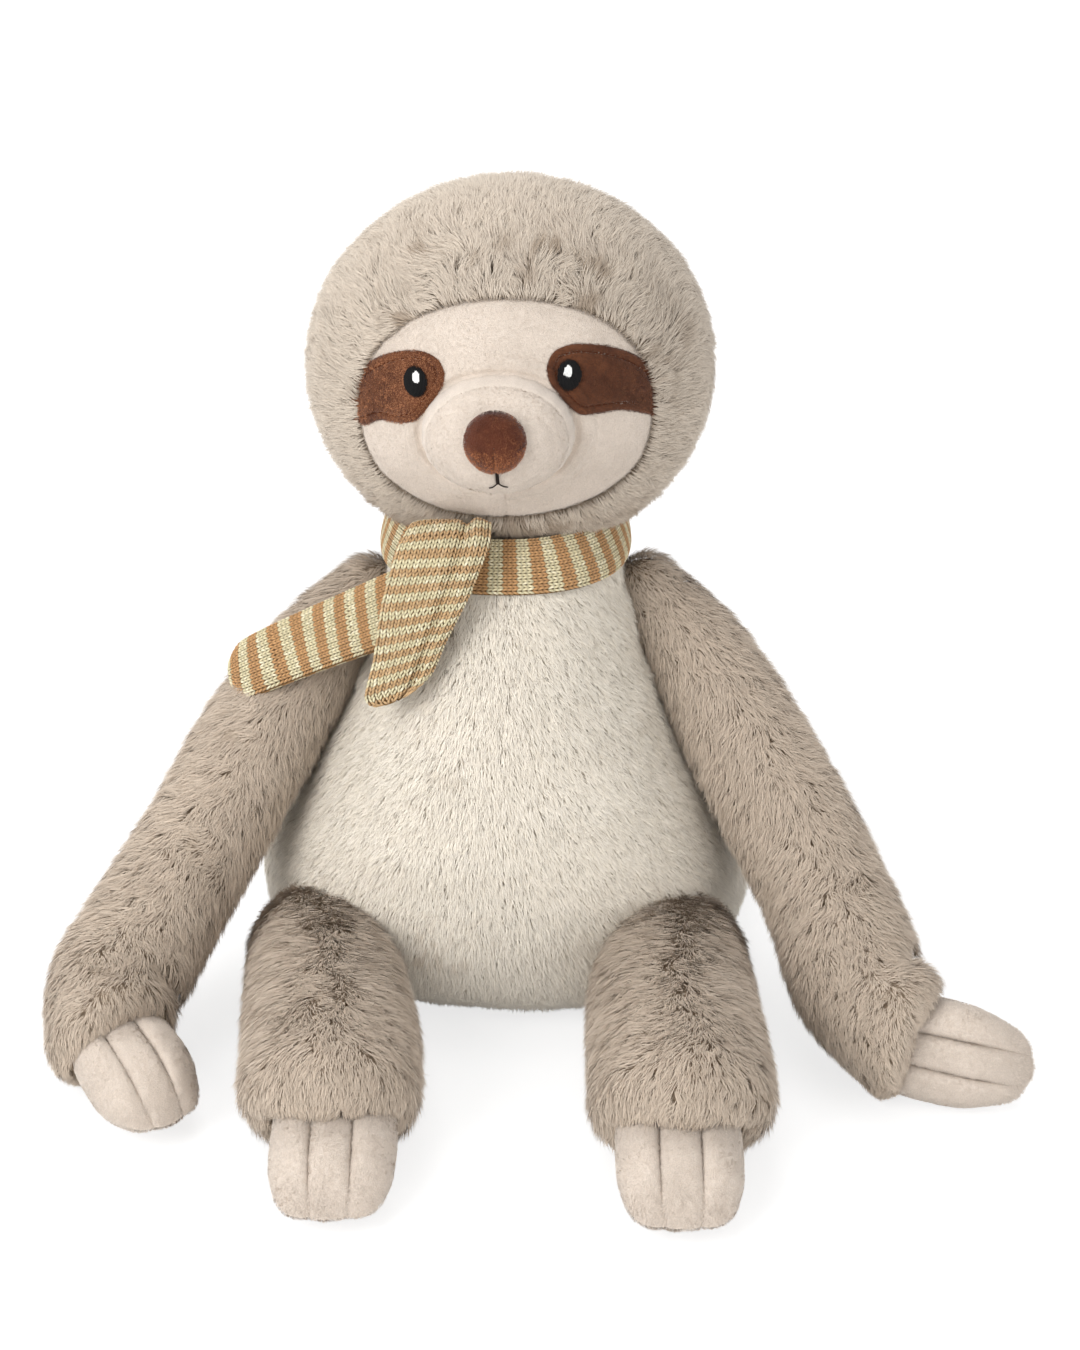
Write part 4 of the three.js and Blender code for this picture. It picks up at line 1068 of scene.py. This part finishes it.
def inset_line(line, distance):
    """A closed line moved towards its inside."""
    along = np.roll(line, -1, 0) - np.roll(line, 1, 0)
    inward = unit(np.stack([-along[:, 1], along[:, 0]], 1))
    area = (line[:, 0] * np.roll(line[:, 1], -1) - np.roll(line[:, 0], -1) * line[:, 1]).sum()
    return line + inward * distance * np.sign(area)


def sew_patch(side, outline, dark):
    """A brown velour patch with its pile, and the line of stitches that runs in its edge. Its
    pile is painted as dark as given: painted light on the patch towards the key lamp, painted shade on
    the other.
    """
    rim = closed_curve(outline, PATCH_SIDES)
    rows = [inset_line(rim, inset) for inset in PATCH_INSETS]
    middle = rows[-1].mean(0)
    inner = np.linspace(0.9, 0.0, PATCH_INNER_ROWS)
    grid = np.array(rows + [middle + (rows[-1] - middle) * share for share in inner])
    rises = np.concatenate([PATCH_RISES, np.full(PATCH_INNER_ROWS, PATCH_TOP)])
    flat = grid.reshape(-1, 2)
    points, outward = on_face(flat[:, 0], flat[:, 1], np.repeat(rises, PATCH_SIDES))
    faces = sheet_faces(len(grid), PATCH_SIDES, True)
    skin = Skin(points, faces)
    if (skin.normals * outward).sum() < 0:
        skin = Skin(points, faces[:, ::-1])
    sew(f"{side}_eye_patch_cloth", skin, BROWN_VELOUR, "head", "brown_velour", [f"{side}_eye_patch"])
    lay_pile(f"{side}_eye_patch_pile", skin, BROWN_PILE, "head", "brown_velour", 74, 0.75, 11.0,
             look=lambda points: (1.0, dark))
    steps = len(STITCH_RISES)
    starts = np.arange(0, PATCH_SIDES - steps + 1, steps)
    flat = inset_line(rim, STITCH_INSET)[starts[:, None] + np.arange(steps)].reshape(-1, 2)
    on, outward = on_face(flat[:, 0], flat[:, 1], np.tile(STITCH_RISES, len(starts)))
    threads = Skin(*rods(on.reshape(-1, steps, 3), STITCH_RADIUS * STITCH_TAPER, 6,
                         outward.reshape(-1, steps, 3)[:, steps // 2]))
    sew(f"{side}_eye_patch_stitches", threads, BROWN_THREAD, "head", "brown_velour")


def satin_oval(name, spot, halves, rise, crown, pitch, ragged, material, slot, replaces):
    """An oval filled with upright satin stitches that lie over a padded middle."""
    random = np.random.default_rng(7)
    half_width, half_height = halves
    share = np.linspace(-1, 1, SATIN_STEPS)
    paths, ups = [], []
    for x in np.arange(-half_width + pitch / 2, half_width, pitch):
        reach = half_height * math.sqrt(max(0.0, 1 - (x / half_width) ** 2))
        ends = reach + random.uniform(0, ragged, 2)
        z = np.where(share < 0, share * ends[0], share * ends[1])
        dome = 1 - 0.8 * (x / half_width) ** 2 - 0.8 * (z / half_height) ** 2
        height = rise + crown * np.sqrt(np.clip(dome, 0, 1))
        on, outward = on_face(np.full(SATIN_STEPS, spot[0] + x), spot[1] + z, height)
        paths.append(on)
        ups.append(outward[SATIN_STEPS // 2])
    radius = pitch * np.where(np.abs(share) < 0.99, 0.62, 0.3)
    sew(name, Skin(*rods(np.array(paths), radius, 7, np.array(ups))), material, "head", slot, replaces)


# Painted light and shade: the right patch, towards the key lamp, is painted lighter and the left
# darker
sew_patch("right", RIGHT_PATCH, dark=-0.2)
sew_patch("left", LEFT_PATCH, dark=0.4)
for side, (x, z) in EYES.items():
    satin_oval(f"{side}_eye_thread", (x, z), (3.75, 4.8), rise=0.9, crown=1.6, pitch=0.4, ragged=0.25,
               material=BLACK_THREAD, slot="black_eye", replaces=[f"{side}_eye"])
    over, up = GLINTS[side]
    satin_oval(f"{side}_glint_thread", (x + over, z + up), (1.15, 1.75), rise=2.35, crown=0.35,
               pitch=0.36, ragged=0.5, material=WHITE_THREAD, slot="white_thread",
               replaces=[f"{side}_eye_glint"])


# Hands and feet

CLAW_COLUMNS, PAW_ROWS = 44, 90
PAW_ROOT_DEPTH, BARE_ROOT = 5, 4


def sew_paw(name, shift, fall, squareness, seed, length=PAW_LENGTH):
    """A velour paw: one stuffed bag whose two creases part it into three claws. Its sides
    fall back so far from its tip, which is more or less square.
    """
    pointing, facing, half_width = PAWS[name]
    along = unit(pointing)
    across = unit(np.cross(facing, along))
    thick = np.cross(along, across)
    root = pivot_of(name) + np.array(shift)
    claw = np.repeat([-1.0, 0.0, 1.0], CLAW_COLUMNS)
    inner = np.tile(np.sin(np.linspace(-0.5, 0.5, CLAW_COLUMNS) * math.pi), 3)
    u = (claw + inner / 2) / 1.5
    s = 1 - (1 - np.linspace(0, 1, PAW_ROWS)) ** 1.6
    row = s[:, None]
    tip_round = 1.3 * (1 - np.sqrt(np.clip(1 - 0.94 * inner**2, 0, 1)))
    rounded = fall * (1 - np.sqrt(1 - 0.97 * np.abs(u) ** squareness))
    reach = length + 0.6 - rounded - tip_round
    width = 0.92 + 0.1 * np.sin(0.85 * math.pi * s) - 0.1 * smooth_step(0.8, 1.1, s)
    depth = np.sqrt(np.clip(1 - smooth_step(0, 1, s) ** 6, 0, 1)) * (0.86 + 0.16 * np.sin(2.9 * s))
    bag = np.clip(1 - np.abs(u) ** 2.7, 0, 1) ** 0.5
    plump = 0.7 + 0.3 * np.sqrt(np.clip(1 - np.abs(inner) ** 3, 0, 1))
    fading = smooth_step(-0.1, 0.25, row) * (1 - 0.7 * smooth_step(0.72, 0.97, row))
    seamed = 1 - (1 - plump)[None] * fading * (np.abs(u) < 0.7)[None]
    halves = []
    for face in (1, -1):
        height = face * PAW_HALF_THICKNESS * depth[:, None] * bag[None] * seamed
        halves.append(root - along * PAW_ROOT_DEPTH * (1 - row)[..., None]
                      + along * (row * reach[None])[..., None]
                      + across * (half_width * width[:, None] * u[None])[..., None]
                      + thick * height[..., None])
    faces = sheet_faces(len(s), len(u))
    skin = Skin(np.concatenate([half.reshape(-1, 3) for half in halves]),
                np.concatenate([faces[:, ::-1], faces + len(s) * len(u)]))
    skin = skin.lumpy((0.14, 5, seed), (0.35, 15, seed + 1))
    raised(skin.points)
    sew(f"{name}_cloth", skin, VELOUR, name, "velour", [f"{name}_skin", f"{name}_stuffing"], 0.85)

    def out(points):
        return (points - root) @ along > BARE_ROOT

    def look(points):
        """The pile is longer towards the claws' tips."""
        return 1 + 1.1 * smooth_step(0.72, 0.95, (points - root) @ along / length), -0.1

    lay_pile(f"{name}_pile", skin, VELOUR_PILE, name, "velour", seed + 2, 0.8, 9.0, out, look)


sew_paw("right_hand", (-2, 0, 0), fall=15, squareness=2.4, seed=51, length=40)
sew_paw("left_hand", (1, -2, -3), fall=19, squareness=2.2, seed=54)
sew_paw("right_foot", (2.3, -1, 0), fall=11, squareness=3.2, seed=57)
sew_paw("left_foot", (-1.8, -1, 0), fall=11, squareness=3.2, seed=60)


# Scarf

WALE, COURSE = 1.95, 1.55
YARN_RADIUS, YARN_SIDES = 0.4, 5
YARN_TAPER = np.array([0.6, 1, 1.08, 1, 0.6])
# How lit a yarn leg is painted along its length: painted shade at its ends, where it dives under the
# next loop
LEG_PAINTED_LIGHT = [0.0, 0.75, 1.0, 0.6, 0.0]
BAND_COLUMNS = 21


class Band:
    """A strap of knit: its middle line, which way is out of it, and its width along it. Slant
    is how far its rows climb from the one edge to the other, as a share of the width.
    """

    def __init__(self, middle, outward, width, thickness, tip=0.0, fold=0.0, slant=0.0):
        """Tip is how long its rounded end is, and fold how deep the fold down its front."""
        steps = np.linalg.norm(np.diff(middle, axis=0), axis=1)
        self.run = np.concatenate([[0], np.cumsum(steps)])
        self.long = self.run[-1]
        along = unit(np.gradient(middle, axis=0))
        across = unit(np.cross(outward, along))
        out = np.cross(along, across)
        self.lines = (middle, across + np.reshape(slant, (-1, 1)) * along, out)
        self.width, self.thick, self.tip, self.fold = width, thickness, tip, fold

    def width_at(self, u):
        """The width at this run, which closes round the tip where there is one."""
        width = np.interp(u, self.run, self.width)
        if not self.tip:
            return width
        end = np.clip((u - (self.long - self.tip)) / self.tip, 0, 0.97)
        return width * (1 - end**2.4) ** 0.5

    def spot(self, u, v, face, lift=0.0):
        """A place on the band's front or back, by its run and its share across, and the way
        out of it. A fold runs down the front of some.
        """
        middle, across, out = (
            np.stack([np.interp(u, self.run, line[:, k]) for k in range(3)], -1)
            for line in self.lines
        )
        round_off = np.clip(1 - np.abs(v) ** 3, 0, 1) ** 0.5
        rise = self.thick / 2 * round_off + lift
        if face > 0:
            rise = rise - self.fold * bump_at(v, 0.42, 0.13) + 0.5 * self.fold * bump_at(v, 0.68, 0.2)
        half = (self.width_at(u) / 2)[..., None]
        return middle + across * v[..., None] * half + out * face * rise[..., None], out * face


def knit_ground(name, band):
    """The closed ground of a band, a little inside its two faces, in a darker copy of the tan yarn as
    painted shade between the loops.
    """
    rows, columns = max(8, int(band.long / 2)), BAND_COLUMNS
    uu, vv = np.meshgrid(np.linspace(0, band.long, rows), np.linspace(-1, 1, columns), indexing="ij")
    front, back = (band.spot(uu, vv, face, -0.3)[0] for face in (1, -1))
    loop = np.concatenate([front, back[:, ::-1]], 1)
    k = np.arange(columns - 1)
    cap = np.stack([k, k + 1, 2 * columns - 2 - k, 2 * columns - 1 - k], 1)
    around = sheet_faces(rows, 2 * columns, True)[:, ::-1]
    far_cap = cap[:, ::-1] + (rows - 1) * 2 * columns
    return build(name, loop.reshape(-1, 3), [around, cap, far_cap], KNIT_SHADE_GROUND)


def knit_loops(name, band, faces, seed, course, stripe_rows, fade):
    """A pair of legs for every loop of a band, in rows that are a course apart. Stripes are so
    many rows high, and the darker ones are faded by a share.
    """
    random = np.random.default_rng(seed)
    steps = len(YARN_TAPER)
    share = np.linspace(0, 1, steps)[None]
    starts = np.arange(0.3, band.long - 1.2, course)
    paths, ups, marks = [], [], []
    for face, (row, start) in itertools.product(faces, enumerate(starts)):
        count = max(2, int(round(float(band.width_at(start + course / 2)) / WALE)))
        middle = (np.arange(count)[:, None] + 0.5) / count * 2 - 1
        # A leg leans out from its loop's middle and dives under the next row
        for hand in (-1, 1):
            run = np.clip(start + course * (1.32 * share - 0.1) + 0 * middle, 0, band.long)
            sway = middle + hand / count * (0.16 + 0.66 * share**0.75)
            lift = 0.12 + 0.34 * np.sin(math.pi * (0.12 + 0.8 * share)) + 0 * middle
            spots, out = band.spot(run, np.clip(sway, -0.995, 0.995), face, lift)
            paths.append(spots)
            ups.append(out[:, steps // 2])
            stripe = np.full(count, max(fade, row // stripe_rows % 2))
            marks.append(np.stack([stripe, random.random(count)], 1))
    paths = np.concatenate(paths)
    points, quads = rods(paths, YARN_RADIUS * YARN_TAPER, YARN_SIDES, np.concatenate(ups))
    marks = np.repeat(np.concatenate(marks), steps * YARN_SIDES, axis=0)
    dive = np.tile(np.repeat(LEG_PAINTED_LIGHT, YARN_SIDES), len(paths))
    marks = np.concatenate([marks, dive[:, None]], 1)
    return build(name, points, [quads], KNIT_YARN, None, {"loop": marks})


def knit_band(name, band, seed, faces=(1, -1), join=None, course=COURSE,
              stripe_rows=3, fade=0.0):
    """The knitted fabric of a band, on the torso, or left in the part's frame where it has a join."""
    ground = knit_ground(f"{name}_ground", band)
    loops = knit_loops(f"{name}_loops", band, faces, seed, course, stripe_rows, fade)
    for piece in (ground, loops):
        if join:
            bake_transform(piece)
        else:
            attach(piece, "torso")
    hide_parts(name)


COLLAR_STEPS, COLLAR_WIDTH, COLLAR_THICKNESS = 200, 19.5, 4.2
COLLAR_HEIGHTS = (152.0, 159.5, 166.5)
collar_turns = np.linspace(-0.636 * math.pi, 1.364 * math.pi, COLLAR_STEPS)
collar_low, collar_middle, collar_high = (
    body_ring(np.array([height]), collar_turns, 0.4)[0] for height in COLLAR_HEIGHTS)
collar_out = unit(np.cross(np.gradient(collar_middle, axis=0), collar_high - collar_low))
collar = Band(collar_middle, collar_out, np.full(COLLAR_STEPS, COLLAR_WIDTH), COLLAR_THICKNESS)
knit_band("scarf_collar", collar, 61, faces=(1,))

TAIL_STEPS, TAIL_THICKNESS = 60, 4.6
FRONT_TAIL = [(-17.5, -50, 171), (-18, -56.5, 175), (-20, -63.5, 171), (-24, -67.5, 160),
              (-28, -70, 148), (-32.5, -71.5, 134), (-37.5, -73.5, 119)]
SIDE_TAIL = [(-30, -60.8, 151.2), (-50, -52, 139.2), (-69.2, -44.9, 128.2), (-84.6, -42.7, 120.3),
             (-96.5, -36, 111.8)]
tail_steps = np.arange(TAIL_STEPS)
tail_line = densely(FRONT_TAIL, TAIL_STEPS)
tail_out = unit(np.cross(np.gradient(tail_line, axis=0), [1, 0, 0]) * [0, 1, 1])
tail_widths = np.interp(tail_steps, [0, 12, 28, 44, 59], [24, 29, 27.5, 21.5, 19])
tail_slant = np.interp(tail_steps, [0, 28, 44, 59], [-0.3, -0.45, -0.65, -0.9])
front_tail = Band(tail_line, tail_out, tail_widths, TAIL_THICKNESS, tip=9, fold=1.8, slant=tail_slant)
knit_band("scarf_front_tail", front_tail, 62, course=1.42, stripe_rows=2,
          fade=0.22, join=("scarf_tail", (-0.019, -0.06, 0.174), (-0.024, -0.0675, 0.158)))
side_tail = Band(densely(SIDE_TAIL, TAIL_STEPS), np.array([-0.36, -0.72, 0.59]),
                 np.linspace(26, 21, TAIL_STEPS), TAIL_THICKNESS, tip=10)
knit_band("scarf_side_tail", side_tail, 63,
          join=("right_arm", (-0.036, -0.058, 0.15), (-0.085, -0.05, 0.122)))


# Floor, light and camera

WHITE = (1, 1, 1, 1)
BACKGROUND_GLOW, STUDIO_GLOW = 1.25, 0.6
FLOOR_HALF = 9000
LENS = 64.86


def stage_material():
    """A pale floor that looks white to the camera and still takes a soft shadow."""
    recipe = Recipe("paper", Base_Color=(0.93, 0.93, 0.93, 1), Roughness=0.9, Specular_IOR_Level=0.0)
    spot = recipe.add("ShaderNodeTexCoord", None, None, "Object")
    away = recipe.add("ShaderNodeVectorMath", {"operation": "LENGTH"}, {0: spot}, "Value")
    glow = recipe.add("ShaderNodeEmission", None, {"Color": WHITE, "Strength": BACKGROUND_GLOW})
    path = recipe.nodes.new("ShaderNodeLightPath")
    camera, glossy, transmitted = (
        Value(recipe, path.outputs[f"Is {ray} Ray"]) for ray in ("Camera", "Glossy", "Transmission"))
    seen = camera + glossy + transmitted
    share = seen * (away.eased(0.3, 0.8) * 0.4 + 0.6)
    base = Value(recipe, recipe.shader.outputs["BSDF"])
    mixed = recipe.add("ShaderNodeMixShader", None, {0: share, 1: base, 2: glow}, "Shader")
    recipe.feed(recipe.nodes["Material Output"].inputs["Surface"], mixed)
    return recipe.material


floor_points = np.array([[-1, -1, 0], [1, -1, 0], [1, 1, 0], [-1, 1, 0]]) * FLOOR_HALF
floor = build("floor", floor_points, [np.array([[0, 1, 2, 3]])], stage_material())

# The world is white where the camera sees it and lights the part more softly
world = bpy.data.worlds.new("studio")
bpy.context.scene.world = world
world.use_nodes = True
nodes, links = world.node_tree.nodes, world.node_tree.links
studio, behind = nodes["Background"], nodes.new("ShaderNodeBackground")
for background, strength in ((studio, STUDIO_GLOW), (behind, BACKGROUND_GLOW)):
    background.inputs["Color"].default_value = WHITE
    background.inputs["Strength"].default_value = strength
path, either = nodes.new("ShaderNodeLightPath"), nodes.new("ShaderNodeMixShader")
links.new(either.inputs[0], path.outputs["Is Camera Ray"])
links.new(either.inputs[1], studio.outputs["Background"])
links.new(either.inputs[2], behind.outputs["Background"])
links.new(nodes["World Output"].inputs["Surface"], either.outputs["Shader"])


def soft_box(name, place_mm, aim_mm, size_mm, power):
    """A square soft lamp at a place, turned to what it lights."""
    lamp = bpy.data.lights.new(name, "AREA")
    lamp.shape, lamp.size, lamp.energy = "SQUARE", size_mm / METRE, power
    box = bpy.data.objects.new(name, lamp)
    bpy.context.scene.collection.objects.link(box)
    box.location = Vector(place_mm) / METRE
    aim = Vector(aim_mm) / METRE - box.location
    box.rotation_mode = "QUATERNION"
    box.rotation_quaternion = aim.to_track_quat("-Z", "Y")


soft_box("key", (-750, -850, 750), (0, -40, 110), 700, 10.0)
soft_box("fill", (700, -900, 300), (0, -60, 60), 800, 3.0)
soft_box("top", (-100, 250, 1100), (0, 0, 100), 600, 4.0)

# The camera, which looks down on the toy as the photograph does
ELEVATION, DISTANCE = math.radians(24), 900.0
AIM = np.array([12.2, 0.0, 96.0])
camera = bpy.data.objects.new("camera", bpy.data.cameras.new("camera"))
bpy.context.scene.collection.objects.link(camera)
camera.location = Vector(AIM + DISTANCE * np.array([0, -math.cos(ELEVATION), math.sin(ELEVATION)]))
camera.location /= METRE
camera.rotation_euler = (math.pi / 2 - ELEVATION, 0, 0)
camera.data.lens = LENS
camera.data.clip_start, camera.data.clip_end = 0.05, 50
bpy.context.scene.camera = camera
bpy.context.scene.view_settings.view_transform = "Standard"
